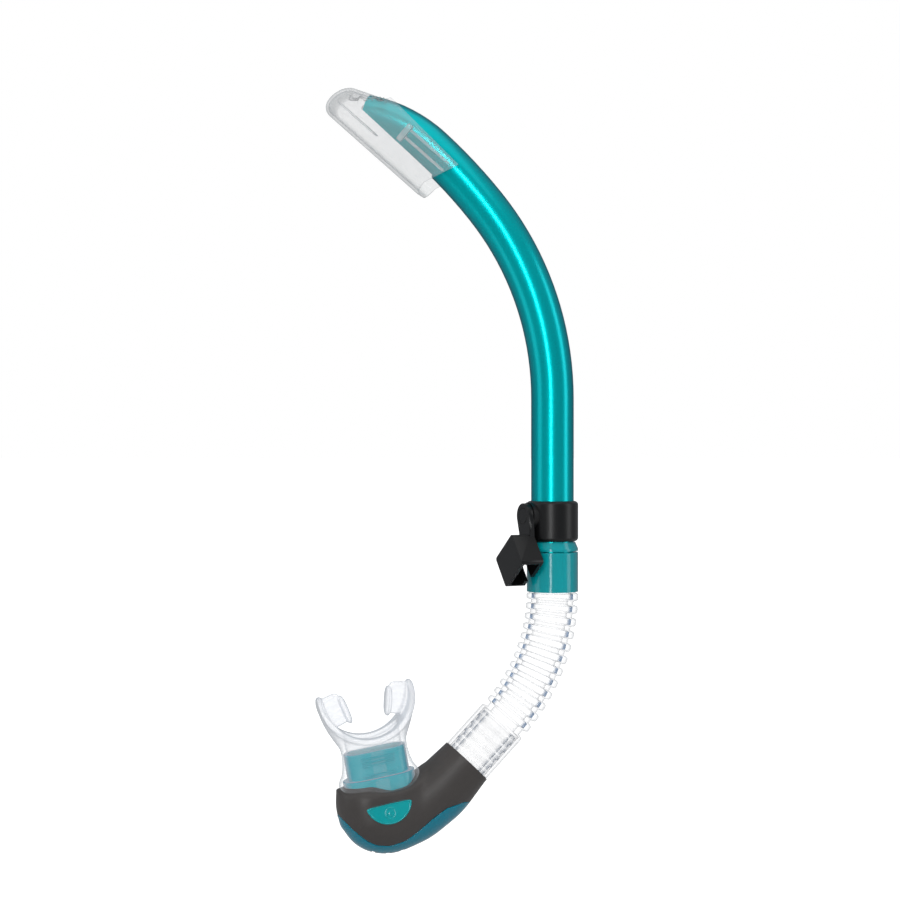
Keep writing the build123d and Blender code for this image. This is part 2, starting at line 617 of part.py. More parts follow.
# ---------------------------------------------------------------- mouthpiece
# In its own axes: x across the mouth, y the height of the lips, z into the mouth.
neck_z = PORT_HEIGHT
pinch_l = PORT_HALF_LENGTH + NECK_SIDE
pinch_d = PORT_HALF_DEPTH + NECK_FACE
flare_z = FLARE_HEIGHT
flare_l = BITE_HALF_SPAN - FLARE_IN
base_slot = SlotOverall(2 * BASE_HALF_LENGTH, 2 * BASE_HALF_DEPTH)
pinch_slot = SlotOverall(2 * pinch_l, 2 * pinch_d)
flare_slot = SlotOverall(2 * flare_l, 2 * (pinch_d + FLARE_FACE))
body = stadium(BASE_HALF_LENGTH, BASE_HALF_DEPTH, base_foot, 2.0)
body += loft([Pos(0, 0, 2.0) * base_slot.face(), Pos(0, 0, neck_z) * pinch_slot.face()])
body += loft([Pos(0, 0, neck_z) * pinch_slot.face(), Pos(0, 0, flare_z) * flare_slot.face()])

# The lip shield is a curved band, tall in the middle and rounded at its ends.
outer_half = [
    (0, flare_z - 6.5),
    (pinch_l + 1.0, neck_z + 2),
    (flare_l + 1.2, flare_z + 1.5),
    (BITE_HALF_SPAN, BITE_HEIGHT - 7),
    (BITE_HALF_SPAN - 2.6, BITE_HEIGHT),
    (BITE_HALF_SPAN - 4.6, BITE_HEIGHT - 1.5),
    (BITE_HALF_SPAN - 4.2, BITE_HEIGHT - 8),
    (flare_l - 2.2, flare_z + 4.2),
    (port_bore_l - 4, flare_z - 1.8),
    (0, flare_z - 4.5),
]
mirrored = [(-x, z) for x, z in reversed(outer_half[1:-1])]
shield = extrude(Plane.XZ * make_face(Polyline(*outer_half, *mirrored, close=True)), BASE_HALF_DEPTH, both=True)
shield = shield & stadium(BITE_HALF_SPAN + 0.5, BASE_HALF_DEPTH, 0, 2 * BITE_HEIGHT)
scoop = Polyline(*outer_half[4:], *mirrored[:5], (0, 2 * BITE_HEIGHT), close=True)
body -= extrude(Plane.XZ * make_face(scoop), 2 * BASE_HALF_DEPTH, both=True)
body += shield
for side in (-1, 1):
    plate_outline = Polyline(
        (side * PLATE_IN, PLATE_LOW),
        (side * PLATE_OUT, PLATE_LOW),
        (side * PLATE_OUT, PLATE_TOP),
        (side * (PLATE_IN + PLATE_LEAN), PLATE_TOP),
        close=True,
    )
    body += extrude(Plane.XZ * make_face(plate_outline), BITE_PLATE / 2, both=True)
    flange_outline = Polyline(
        (side * (PLATE_IN - BLADE_HALF), PLATE_LOW),
        (side * (PLATE_IN + BLADE_HALF), PLATE_LOW),
        (side * (PLATE_IN + PLATE_LEAN + BLADE_HALF), PLATE_TOP),
        (side * (PLATE_IN + PLATE_LEAN - BLADE_HALF), PLATE_TOP),
        close=True,
    )
    body += extrude(Plane.XZ * make_face(flange_outline), BITE_PLATE * 2, both=True)
body -= port
body -= stadium(port_bore_l, port_bore_d, base_foot, flare_z + SILICONE)
save("mouthpiece", twist * (mouth * body))
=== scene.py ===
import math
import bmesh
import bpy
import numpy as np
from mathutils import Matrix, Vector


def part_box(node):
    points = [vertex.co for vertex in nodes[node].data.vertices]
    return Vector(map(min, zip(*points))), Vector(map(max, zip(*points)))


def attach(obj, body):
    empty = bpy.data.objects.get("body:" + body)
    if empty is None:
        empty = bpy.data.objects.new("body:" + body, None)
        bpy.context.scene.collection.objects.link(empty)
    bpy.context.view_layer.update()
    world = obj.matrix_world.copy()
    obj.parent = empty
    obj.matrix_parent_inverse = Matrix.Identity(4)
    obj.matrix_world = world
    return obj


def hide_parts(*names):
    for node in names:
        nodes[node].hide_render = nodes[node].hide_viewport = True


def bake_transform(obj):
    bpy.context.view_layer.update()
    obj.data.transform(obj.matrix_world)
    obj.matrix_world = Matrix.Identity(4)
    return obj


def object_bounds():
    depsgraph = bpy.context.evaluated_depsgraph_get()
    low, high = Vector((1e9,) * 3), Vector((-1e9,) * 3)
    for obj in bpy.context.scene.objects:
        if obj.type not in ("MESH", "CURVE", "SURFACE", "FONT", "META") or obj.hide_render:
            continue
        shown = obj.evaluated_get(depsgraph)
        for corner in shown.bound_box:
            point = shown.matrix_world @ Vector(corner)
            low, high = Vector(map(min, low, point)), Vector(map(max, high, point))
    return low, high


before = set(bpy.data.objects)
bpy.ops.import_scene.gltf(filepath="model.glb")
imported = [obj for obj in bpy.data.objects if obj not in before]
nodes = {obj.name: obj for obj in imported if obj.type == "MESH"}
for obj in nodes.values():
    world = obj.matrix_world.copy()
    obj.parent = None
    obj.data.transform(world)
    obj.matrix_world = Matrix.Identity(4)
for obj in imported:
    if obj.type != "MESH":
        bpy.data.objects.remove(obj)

# %% [markdown]
# A diving snorkel. Its CAD model gives the frame: the barrel, the keeper with its strap clip, the
# swivel coupler, the barbed connector, the chamber and the valve keep their CAD shapes and only get
# a finish. The parts whose beauty is a soft, flowing surface are made here: the splash guard, the
# ribbed hose, the two halves of the boot, the badge and the mouthpiece.
# Each is worked out as arrays of points in millimetres, and goes into Blender in metres.

MM = 0.001
Y_AXIS = np.array([0.0, 1.0, 0.0])
cad_low, cad_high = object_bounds()
print("CAD box, mm:", np.round(np.subtract(cad_high, cad_low) / MM, 1))


# %% [markdown]
# A surface here is a grid of points: rows run along the piece and columns run round or across it.
# One function turns any grid into a mesh. It could be done with a loop over vertices, but whole
# arrays are quicker and keep the formula of each shape in one place. Rows that shrink to a point,
# and columns that meet, are welded, so seams and poles are closed.

# %% From a grid of points to a mesh
def grid_faces(rows, columns, wrap_rows=False, wrap_columns=True):
    """Quads between neighbouring rows and columns: corner (i, j) is vertex i * columns + j."""
    i = np.arange(rows if wrap_rows else rows - 1)[:, None]
    j = np.arange(columns if wrap_columns else columns - 1)[None, :]
    below, right = (i + 1) % rows, (j + 1) % columns
    corners = [i * columns + j, i * columns + right, below * columns + right, below * columns + j]
    return np.stack(np.broadcast_arrays(*corners), axis=-1).reshape(-1, 4)


def make_piece(name, grids):
    """One object from (points, faces) pairs in millimetres, welded, with its faces turned the
    same way."""
    points = np.concatenate([p.reshape(-1, 3) for p, _ in grids]) * MM
    starts = np.cumsum([0] + [p.reshape(-1, 3).shape[0] for p, _ in grids[:-1]])
    faces = np.concatenate([f + start for (_, f), start in zip(grids, starts)])
    mesh = bpy.data.meshes.new(name)
    mesh.from_pydata(points.tolist(), [], faces.tolist())
    work = bmesh.new()
    work.from_mesh(mesh)
    bmesh.ops.remove_doubles(work, verts=work.verts, dist=2e-6)
    bmesh.ops.dissolve_degenerate(work, edges=work.edges, dist=1e-6)
    bmesh.ops.recalc_face_normals(work, faces=work.faces)
    work.to_mesh(mesh)
    work.free()
    mesh.shade_smooth()
    piece = bpy.data.objects.new(name, mesh)
    bpy.context.scene.collection.objects.link(piece)
    print(name, len(mesh.vertices), "vertices")
    return piece


def thicken(piece, wall):
    """Turn an open surface so that most of its faces point away from its middle, and grow its wall
    behind them, in millimetres."""
    count = len(piece.data.polygons)
    normals, centres = np.empty(3 * count), np.empty(3 * count)
    piece.data.polygons.foreach_get("normal", normals)
    piece.data.polygons.foreach_get("center", centres)
    centres = centres.reshape(-1, 3)
    facing = np.einsum("ij,ij->i", normals.reshape(-1, 3), centres - centres.mean(axis=0))
    if np.mean(facing > 0) < 0.5:
        piece.data.flip_normals()
    shell = piece.modifiers.new("wall", "SOLIDIFY")
    shell.thickness = wall * MM
    shell.offset = -1.0


def signed_power(value, exponent):
    """The value's size raised to a power, with its sign kept."""
    return np.sign(value) * np.abs(value) ** exponent


def smooth_line(points, samples, passes):
    """Even samples along straight runs, with the corners worn round by repeated averaging. Columns
    after the first two, such as a radius, are carried along."""
    points = np.array(points, float)
    length = np.concatenate([[0], np.cumsum(np.hypot(*np.diff(points[:, :2], axis=0).T))])
    even = np.linspace(0, length[-1], samples)
    line = np.stack([np.interp(even, length, column) for column in points.T], -1)
    for _ in range(passes):
        line[1:-1] = (line[:-2] + 2 * line[1:-1] + line[2:]) / 4
    return line


def slab(axes, centre, half, squareness=0.35, rows=24, columns=32, relief=None):
    """A block with rounded edges. It is a superellipsoid: the sphere's cosines and sines are raised
    to a power below one, which flattens its faces and tightens its edges. axes are three unit
    vectors, half its half sizes. relief adds to the third half size, as a function of the first two."""
    lat = np.linspace(-np.pi / 2, np.pi / 2, rows)[:, None]
    lon = np.linspace(0, 2 * np.pi, columns, endpoint=False)[None, :]
    a = signed_power(np.cos(lat), squareness) * signed_power(np.cos(lon), squareness)
    b = signed_power(np.cos(lat), squareness) * signed_power(np.sin(lon), squareness)
    c = signed_power(np.sin(lat), squareness) * np.ones_like(lon)
    third = c * (half[2] + (relief(a, b) if relief else 0.0))
    local = np.stack([a * half[0], b * half[1], third], axis=-1)
    return np.array(centre) + local @ np.array(axes), grid_faces(rows, columns)


# %% [markdown]
# The lower half of the snorkel is drawn in an upright plane of its own, which the swivel has turned
# 24 degrees about the barrel. u runs across in that plane, y out of it and z up. All its places
# follow from the coupler's foot, which the CAD model gives.

# %% The lower assembly's plane and its main places
TWIST = math.radians(24.0)


def lower(points):
    """Points given as u, y, z in the lower assembly's plane, turned about the barrel into place."""
    u, y, z = np.moveaxis(np.asarray(points, float), -1, 0)
    return np.stack([u * math.cos(TWIST) - y * math.sin(TWIST),
                     u * math.sin(TWIST) + y * math.cos(TWIST), z], axis=-1)


def flat(u, z):
    """A point of the lower plane."""
    return np.array([u, 0.0, z])


HOSE_BEND_R, HOSE_BEND = 100.0, math.radians(43.6)
CUFF_LENGTH = 28.9
coupler_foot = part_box("swivel_coupler")[0][2] / MM
hose_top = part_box("flex_hose")[1][2] / MM
down = np.array([-math.sin(HOSE_BEND), 0.0, -math.cos(HOSE_BEND)])
bend_end = flat(-HOSE_BEND_R * (1 - math.cos(HOSE_BEND)), coupler_foot - HOSE_BEND_R * math.sin(HOSE_BEND))
inlet = bend_end + CUFF_LENGTH * down
MOUTH_TILT = math.radians(10.0)
MOUTH_OFFSET = (-46.8, -11.5)
mouth_at = inlet + flat(*MOUTH_OFFSET)
mouth_across = np.array([math.cos(MOUTH_TILT), 0.0, math.sin(MOUTH_TILT)])
mouth_up = np.array([-math.sin(MOUTH_TILT), 0.0, math.cos(MOUTH_TILT)])
print("boot's inlet, mm:", np.round(inlet, 1), "mouthpiece's seat:", np.round(mouth_at, 1))


# %% [markdown]
# The camera looks level at the snorkel from 11.5 degrees to the right of square-on, a metre away,
# with a lens long enough to keep the barrel's sides parallel.

# %% Camera
CAMERA_TURN = math.radians(11.5)
CAMERA_DISTANCE = 1.0
FRAME_WIDTH = 0.486
SENSOR = 36.0
AIM_LEFT, AIM_HEIGHT = 0.0553, 0.0383
aim = np.array([-AIM_LEFT * math.cos(CAMERA_TURN), -AIM_LEFT * math.sin(CAMERA_TURN), AIM_HEIGHT])
backwards = np.array([math.sin(CAMERA_TURN), -math.cos(CAMERA_TURN), 0.0])
camera_data = bpy.data.cameras.new("camera")
camera_data.sensor_width = SENSOR
camera_data.lens = SENSOR * CAMERA_DISTANCE / FRAME_WIDTH
camera = bpy.data.objects.new("camera", camera_data)
camera.location = aim + backwards * CAMERA_DISTANCE
camera.rotation_euler = (math.pi / 2, 0.0, CAMERA_TURN)
bpy.context.scene.collection.objects.link(camera)
bpy.context.scene.camera = camera

# %% [markdown]
# Clear and glossy parts are seen by what they mirror, so the light matters as much as the finish.
# A white room with soft boxes would do for opaque parts alone. Here a narrow soft box beside the
# camera draws the bright line down the barrel, a second on the right gives the weaker one, and the
# room is a little darker at its sides, which the clear parts mirror at their edges; the grey of those
# edges is mostly painted shade in their finishes.


# %% Room, floor and soft boxes
def to_linear(code, alpha=1.0):
    """An sRGB hex colour as linear values: under 0.04045 divide by 12.92, else a power of 2.4."""
    channels = np.array([int(code[i:i + 2], 16) for i in (1, 3, 5)]) / 255
    linear = np.where(channels <= 0.04045, channels / 12.92, ((channels + 0.055) / 1.055) ** 2.4)
    return (*linear.tolist(), alpha)


def add(tree, kind, settings=None, links=None):
    """Add a node. settings are attributes, values of inputs where the name is an input's, or the
    (position, sRGB hex) stops of a colour ramp. links are the outputs that feed its inputs."""
    node = tree.nodes.new(kind)
    for key, value in (settings or {}).items():
        if key == "stops":
            for position, colour in value[1:-1]:
                node.color_ramp.elements.new(position)
            for element, (position, colour) in zip(node.color_ramp.elements, value):
                element.position = position
                element.color = to_linear(colour)
        elif isinstance(key, str) and hasattr(node, key):
            setattr(node, key, value)
        else:
            node.inputs[key].default_value = value
    for key, output in (links or {}).items():
        tree.links.new(output, node.inputs[key])
    return node


world = bpy.data.worlds.new("white_room")
bpy.context.scene.world = world
world.use_nodes = True
sky = world.node_tree
sky.nodes.clear()
direction = add(sky, "ShaderNodeTexCoord").outputs["Generated"]
height = add(sky, "ShaderNodeSeparateXYZ", links={0: direction}).outputs["Z"]
level = add(sky, "ShaderNodeMapRange", {"From Min": -1.0, "From Max": 1.0}, {"Value": height})
ROOM_TONES = [(0.0, "#c9ced4"), (0.45, "#9aa6b3"), (0.62, "#c6ced6"), (1.0, "#ffffff")]
tones = add(sky, "ShaderNodeValToRGB", {"stops": ROOM_TONES}, {"Fac": level.outputs["Result"]})
room = add(sky, "ShaderNodeBackground", {"Strength": 0.5}, {"Color": tones.outputs["Color"]})
paper = add(sky, "ShaderNodeBackground", {"Color": to_linear("#ffffff"), "Strength": 1.0})
seen = add(sky, "ShaderNodeLightPath").outputs["Is Camera Ray"]
mixed = add(sky, "ShaderNodeMixShader", links={0: seen, 1: room.outputs[0], 2: paper.outputs[0]})
add(sky, "ShaderNodeOutputWorld", links={"Surface": mixed.outputs[0]})


def soft_box(name, turn_deg, rise_deg, size, power, distance=1.1):
    """An area light facing the object, turned from the camera's direction and raised."""
    light = bpy.data.lights.new(name, "AREA")
    light.shape = "RECTANGLE"
    light.size, light.size_y = size
    light.energy = power
    box = bpy.data.objects.new(name, light)
    turn = CAMERA_TURN + math.radians(turn_deg)
    rise = math.radians(rise_deg)
    away = np.array([math.sin(turn) * math.cos(rise), -math.cos(turn) * math.cos(rise), math.sin(rise)])
    box.location = aim + away * distance
    box.rotation_euler = (math.pi / 2 - rise, 0.0, turn)
    bpy.context.scene.collection.objects.link(box)


soft_box("line_light", -8, 8, (0.14, 1.3), 5.0)
soft_box("right_light", 76, 5, (0.35, 1.3), 2.6)
soft_box("left_light", -75, 15, (0.5, 1.2), 1.5)
soft_box("top_light", 0, 80, (1.2, 1.2), 3.0)

FLOOR_DROP = 0.07
floor_z = cad_low[2] - FLOOR_DROP
angles = np.linspace(0, 2 * np.pi, 64, endpoint=False)
disc_rim = np.stack([np.cos(angles), np.sin(angles), np.zeros_like(angles)], axis=-1)
floor_rings = np.array([1e-3, 1.0, 60.0])[:, None, None] * disc_rim / MM + np.array([0, 0, floor_z / MM])
floor = make_piece("floor", [(floor_rings, grid_faces(3, 64))])
paper_look = bpy.data.materials.new("seamless_paper")
paper_look.use_nodes = True
paper_tree = paper_look.node_tree
paper_tree.nodes.clear()
paper_seen = add(paper_tree, "ShaderNodeLightPath").outputs["Is Camera Ray"]
paper_glow = add(paper_tree, "ShaderNodeMapRange", {"To Min": 0.12, "To Max": 1.0}, {"Value": paper_seen})
paper_body = add(paper_tree, "ShaderNodeBsdfPrincipled",
                 {"Base Color": to_linear("#b4b4b4"), "Roughness": 0.9,
                  "Emission Color": to_linear("#ffffff")},
                 {"Emission Strength": paper_glow.outputs["Result"]})
add(paper_tree, "ShaderNodeOutputMaterial", links={"Surface": paper_body.outputs[0]})
floor.data.materials.append(paper_look)

scene_view = bpy.context.scene.view_settings
scene_view.view_transform = "Standard"
scene_view.exposure = 0.0


# %% [markdown]
# Finishes. Every one is a single physical shader with its values from the real material, and a
# little procedural detail: flakes, moulding grain, a trace of cloudiness. Clear parts could be
# ray-traced glass, but walls inside walls then turn to noise and darkness. A clear wall here lets
# through what is behind it where it faces the eye, and closes up to a painted grey shade where it
# turns away, which stands in for how a thick clear moulding looks against white.

# %% Finish makers
def finish(name, tint, rough, settings=None, build=None):
    """A material with one principled shader. build(tree, shader) adds its procedural detail."""
    look = bpy.data.materials.new(name)
    look.use_nodes = True
    tree = look.node_tree
    tree.nodes.clear()
    shader = add(tree, "ShaderNodeBsdfPrincipled", {"Base Color": to_linear(tint), "Roughness": rough})
    for key, value in (settings or {}).items():
        shader.inputs[key].default_value = value
    add(tree, "ShaderNodeOutputMaterial", links={"Surface": shader.outputs[0]})
    if build:
        build(tree, shader)
    return look


def grain(tree, shader, grain_mm, depth_mm, rough_from, rough_to):
    """Moulded texture: a shallow bump and a matching change of roughness. Object coordinates are in
    metres, so the scale is one over the grain's size."""
    where = add(tree, "ShaderNodeTexCoord").outputs["Object"]
    size = {"Scale": 1.0 / (grain_mm * MM), "Detail": 2.0}
    fine = add(tree, "ShaderNodeTexNoise", size, {"Vector": where}).outputs["Fac"]
    bump = add(tree, "ShaderNodeBump", {"Distance": depth_mm * MM, "Strength": 0.6}, {"Height": fine})
    tree.links.new(bump.outputs["Normal"], shader.inputs["Normal"])
    rough = add(tree, "ShaderNodeMapRange", {"To Min": rough_from, "To Max": rough_to}, {"Value": fine})
    tree.links.new(rough.outputs["Result"], shader.inputs["Roughness"])


def see_through(tree, shader, alphas, tint_and_edge_shade, turns=(0.15, 0.95), cloud=0.03, cloud_mm=9.0):
    """A clear wall: its opacity and tint go from face to edge as the wall turns away, between the
    two turns given, and a faint cloudiness varies the opacity. The edge tint is painted shade."""
    turned = add(tree, "ShaderNodeLayerWeight", {"Blend": 0.5}).outputs["Facing"]
    where = add(tree, "ShaderNodeTexCoord").outputs["Object"]
    size = {"Scale": 1.0 / (cloud_mm * MM), "Detail": 2.0}
    cloudy = add(tree, "ShaderNodeTexNoise", size, {"Vector": where}).outputs["Fac"]
    haze = add(tree, "ShaderNodeMapRange", {"To Min": -cloud, "To Max": cloud}, {"Value": cloudy}).outputs[0]
    span = {"From Min": turns[0], "From Max": turns[1], "To Min": alphas[0], "To Max": alphas[1]}
    span["interpolation_type"] = "SMOOTHSTEP"
    open_wall = add(tree, "ShaderNodeMapRange", span, {"Value": turned}).outputs[0]
    opacity = add(tree, "ShaderNodeMath", {"operation": "ADD", "use_clamp": True}, {0: open_wall, 1: haze})
    tree.links.new(opacity.outputs[0], shader.inputs["Alpha"])
    # painted shade: the second stop is the grey or darker tint that stands in for shade at the turned-away
    # edge
    stops = [(turns[0], tint_and_edge_shade[0]), (turns[1], tint_and_edge_shade[1])]
    tint = add(tree, "ShaderNodeValToRGB", {"stops": stops}, {"Fac": turned}).outputs["Color"]
    tree.links.new(tint, shader.inputs["Base Color"])
    return opacity


# %% Pearl ABS
# ABS moulded with mica flakes: a deep teal with a metallic sheen. Its colour darkens as it turns away, which
# is painted shade.
# Real flakes are 0.05 mm across; they are drawn 0.25 mm across so that they show at all.
FLAKE_MM = 0.25
PEARL_TONES_AND_EDGE_SHADE = [(0.0, "#00c2c6"), (0.5, "#00a0aa"), (1.0, "#006a79")]


def pearl_detail(tree, shader):
    """Painted shade darkens the colour at the edges, with a faint sparkle of flakes."""
    turned = add(tree, "ShaderNodeLayerWeight", {"Blend": 0.35}).outputs["Facing"]
    # painted shade: the colour ramps from bright teal facing the eye to dark teal at the edges
    painted_edge_shade = add(tree, "ShaderNodeValToRGB", {"stops": PEARL_TONES_AND_EDGE_SHADE}, {"Fac": turned}).outputs["Color"]
    where = add(tree, "ShaderNodeTexCoord").outputs["Object"]
    size = {"Scale": 1.0 / (FLAKE_MM * MM), "Detail": 2.0}
    flakes = add(tree, "ShaderNodeTexNoise", size, {"Vector": where}).outputs["Fac"]
    spark = add(tree, "ShaderNodeMapRange", {"To Min": 0.9, "To Max": 1.1}, {"Value": flakes}).outputs[0]
    lit = add(tree, "ShaderNodeVectorMath", {"operation": "SCALE"}, {0: painted_edge_shade, "Scale": spark})
    tree.links.new(lit.outputs[0], shader.inputs["Base Color"])
    rough = add(tree, "ShaderNodeMapRange", {"To Min": 0.24, "To Max": 0.33}, {"Value": flakes})
    tree.links.new(rough.outputs["Result"], shader.inputs["Roughness"])


pearl_abs = finish("pearl_abs_teal", "#009aa4", 0.3,
                   {"Metallic": 0.7, "Specular Tint": to_linear("#1d8f9b"), "Coat Weight": 0.12,
                    "Coat Roughness": 0.1}, pearl_detail)

# %% Tinted and clear polycarbonate
# Injection moulded polycarbonate, IOR 1.585: very glossy, and so clear that its edges do the talking.
# Its mirror is turned down where the room would wash the colour out. The darker edge tint of each
# see-through finish is painted shade.
DEEP = {"IOR": 1.585, "Specular IOR Level": 0.3, "Coat Weight": 0.2, "Coat Roughness": 0.05}
tinted_pc = finish("tinted_polycarbonate", "#00a3ad", 0.16, DEEP,
                   lambda tree, shader: see_through(tree, shader, (0.95, 1.0), ("#00aab2", "#00727f")))
port_pc = finish("tinted_polycarbonate_port", "#1aa0b4", 0.2, DEEP,
                 lambda tree, shader: see_through(tree, shader, (0.92, 1.0), ("#35bcc9", "#1180a8")))
gloss_pc = finish("glossy_polycarbonate", "#007f97", 0.12, DEEP,
                  lambda tree, shader: grain(tree, shader, 6.0, 0.01, 0.1, 0.16))
badge_pc = finish("badge_polycarbonate", "#00a6aa", 0.14, DEEP,
                  lambda tree, shader: grain(tree, shader, 3.0, 0.01, 0.1, 0.18))
clear_pc = finish("clear_polycarbonate", "#eef1f3", 0.1, {"IOR": 1.585, "Coat Weight": 0.4},
                  lambda tree, shader: see_through(tree, shader, (0.13, 0.45), ("#eeeff0", "#a9b0b4")))

# Light gathers in the barbs of the connector and leaves paler gaps between them.
BARB_PITCH, BARB_SHARE, GAP_ALPHA = 5.3, 0.74, 0.35


def barb_detail(tree, shader):
    """A clear wall that fades in the gap after each barb, by the distance along the cuff."""
    # painted shade and light: the blue-grey edge tint, and the bands where light gathers in the barbs
    opacity = see_through(tree, shader, (0.03, 0.6), ("#f4f6f8", "#8fa3c0"), turns=(0.25, 0.8))
    where = add(tree, "ShaderNodeTexCoord").outputs["Object"]
    run = add(tree, "ShaderNodeVectorMath", {"operation": "DOT_PRODUCT", 1: tuple(lower(down))}, {0: where})
    start = float(lower(bend_end) @ lower(down)) * MM
    pitch = BARB_PITCH * MM
    turns = add(tree, "ShaderNodeMapRange", {"From Min": start, "From Max": start + pitch, "clamp": False},
                {"Value": run.outputs["Value"]}).outputs[0]
    place = add(tree, "ShaderNodeMath", {"operation": "FRACT"}, {0: turns}).outputs[0]
    gap = add(tree, "ShaderNodeMath", {"operation": "GREATER_THAN", 1: BARB_SHARE}, {0: place}).outputs[0]
    keep = add(tree, "ShaderNodeMapRange", {"To Min": 1.0, "To Max": GAP_ALPHA}, {"Value": gap}).outputs[0]
    shown = add(tree, "ShaderNodeMath", {"operation": "MULTIPLY"}, {0: opacity.outputs[0], 1: keep})
    tree.links.new(shown.outputs[0], shader.inputs["Alpha"])


barb_pc = finish("connector_polycarbonate", "#e8edf2", 0.12, {"IOR": 1.585}, barb_detail)
# The guard's rails are whiter and less clear than its walls, so that they show through them.
rail_pc = finish("clear_polycarbonate_rails", "#ffffff", 0.3, {"IOR": 1.585},
                 lambda tree, shader: see_through(tree, shader, (0.35, 0.7), ("#ffffff", "#dfe5e8")))

# %% Liquid silicone rubber
# Silicone moulded in polished tools, IOR 1.41: softer in its shine than polycarbonate, and a little
# milky in a thick wall. The bore is matt, and its grooves close up to a painted blue-grey shade; the
# grey edges of these silicone finishes are painted shade too.
hose_silicone = finish("clear_silicone", "#f0f3f6", 0.18, {"IOR": 1.41},
                       lambda tree, shader: see_through(tree, shader, (0.07, 0.42), ("#f2f0f0", "#a9adb6"),
                                                        turns=(0.35, 1.0)))
groove_silicone_and_shade = finish("clear_silicone_groove_and_shade", "#dfe8f2", 0.3, {"IOR": 1.41},
                       lambda tree, shader: see_through(tree, shader, (0.02, 0.85), ("#fbfbfc", "#9dbbe0"),
                                                        turns=(0.3, 0.62)))
flap_silicone = finish("milky_silicone", "#eef1f5", 0.28, {"IOR": 1.41},
                       lambda tree, shader: see_through(tree, shader, (0.3, 0.7), ("#f6f7fa", "#b9bfc8")))

# The mouthpiece's wall is thin where it is stretched over the port, and thick and milky at the lips.
# Light that enters a milky wall leaves it again all over, which a faint glow stands for.
MILK_GLOW = 0.2
THIN_AT, THICK_AT = 19.0, 28.0
THICK_ADDS = 0.42


def mouth_detail(tree, shader):
    """A clear wall whose opacity grows with the height along the mouthpiece's axis."""
    # painted shade: the grey edge tint of the see-through wall
    opacity = see_through(tree, shader, (0.08, 0.6), ("#f1f2f5", "#a4adb8"))
    where = add(tree, "ShaderNodeTexCoord").outputs["Object"]
    axis = tuple(lower(mouth_up))
    seat = float(lower(mouth_at) @ lower(mouth_up))
    climb = add(tree, "ShaderNodeVectorMath", {"operation": "DOT_PRODUCT", 1: axis}, {0: where})
    span = {"From Min": (seat + THIN_AT) * MM, "From Max": (seat + THICK_AT) * MM, "To Max": THICK_ADDS}
    extra = add(tree, "ShaderNodeMapRange", span, {"Value": climb.outputs["Value"]}).outputs[0]
    total = add(tree, "ShaderNodeMath", {"use_clamp": True}, {0: opacity.outputs[0], 1: extra})
    tree.links.new(total.outputs[0], shader.inputs["Alpha"])


milky_silicone = finish("milky_silicone_mouthpiece", "#eef1f5", 0.24,
                        {"IOR": 1.41, "Emission Color": to_linear("#ffffff"), "Emission Strength": MILK_GLOW},
                        mouth_detail)

# %% Grip elastomer, acetal and rubber
# Thermoplastic elastomer over-moulded on the chamber: warm dark grey with a soft satin shine.
grip_tpe = finish("grey_elastomer", "#45413f", 0.38, {"IOR": 1.5, "Specular IOR Level": 0.4},
                  lambda tree, shader: grain(tree, shader, 0.6, 0.02, 0.36, 0.46))
# Acetal with a fine sparked grain: black, satin, with grey highlights.
acetal = finish("black_acetal", "#0c0c0d", 0.36, {"IOR": 1.48, "Specular IOR Level": 0.42},
                lambda tree, shader: grain(tree, shader, 0.35, 0.02, 0.28, 0.38))
# Nitrile rubber: black and matt.
rubber = finish("black_rubber", "#101010", 0.7, {"IOR": 1.52},
                lambda tree, shader: grain(tree, shader, 0.5, 0.03, 0.62, 0.78))


def dress(node, look):
    """Put a finish on a CAD node."""
    slots = nodes[node].data.materials
    slots.clear()
    slots.append(look)


CAD_LOOKS = {
    "barrel_tube": pearl_abs, "barrel_ring": tinted_pc, "keeper_liner": rubber, "keeper_collar": acetal,
    "pivot_button": acetal, "strap_clip": acetal, "swivel_coupler": tinted_pc, "coupler_seal": rubber,
    "hose_connector": barb_pc, "chamber_body": port_pc, "valve_seat": clear_pc,
    "purge_valve": flap_silicone, "splash_guard": clear_pc, "flex_hose": hose_silicone,
    "badge_insert": badge_pc, "grip_shell": grip_tpe, "purge_cover": gloss_pc, "mouthpiece": milky_silicone,
}
for node, look in CAD_LOOKS.items():
    dress(node, look)
print("finishes on", len(CAD_LOOKS), "CAD nodes")


# %% [markdown]
# The keeper, the clip and its button are moulded parts with small radii on every edge. The CAD
# solids have sharp edges, so on the clip and its button a weld joins their loose triangles and a
# bevel rounds what is sharp.

# %% Small radii on the keeper's parts
def soften(node, radius_mm):
    """Weld and round the sharp edges of a CAD node."""
    weld = nodes[node].modifiers.new("weld", "WELD")
    weld.merge_threshold = 1e-6
    edge = nodes[node].modifiers.new("edge_radius", "BEVEL")
    edge.width = radius_mm * MM
    edge.segments = 2
    edge.limit_method = "ANGLE"
    edge.angle_limit = math.radians(40)
    edge.use_clamp_overlap = True
    edge.harden_normals = False


for node, radius in (("strap_clip", 0.4), ("pivot_button", 0.2)):
    soften(node, radius)


# %% [markdown]
# The hose is a tube whose wall swells into hollow, square-shouldered ribs, so it bends without
# kinking. It could be a spin with an array bent by a curve modifier, but one formula is simpler:
# the radius as a function of the distance along the hose, carried along the hose's own line.
# Inside, the wall follows the ribs, and the light those grooves catch is painted on as grey-blue squares.

# %% The hose's line and its ribs
RIB_COUNT, RIB_WIDTH, FIRST_RIB = 12, 4.2, 2.7
ROOT_R, RIB_R, BORE_R, GROOVE_R = 11.5, 14.0, 8.5, 11.2
CUFF_R, CUFF_BORE_R = 14.1, 12.3
RIB_ROUND = 1.1
HOSE_COLUMNS = 96
neck_length = hose_top - coupler_foot
arc_length = HOSE_BEND_R * HOSE_BEND
hose_length = neck_length + arc_length + CUFF_LENGTH
rib_pitch = (arc_length - FIRST_RIB - RIB_WIDTH / 2) / (RIB_COUNT - 0.5)


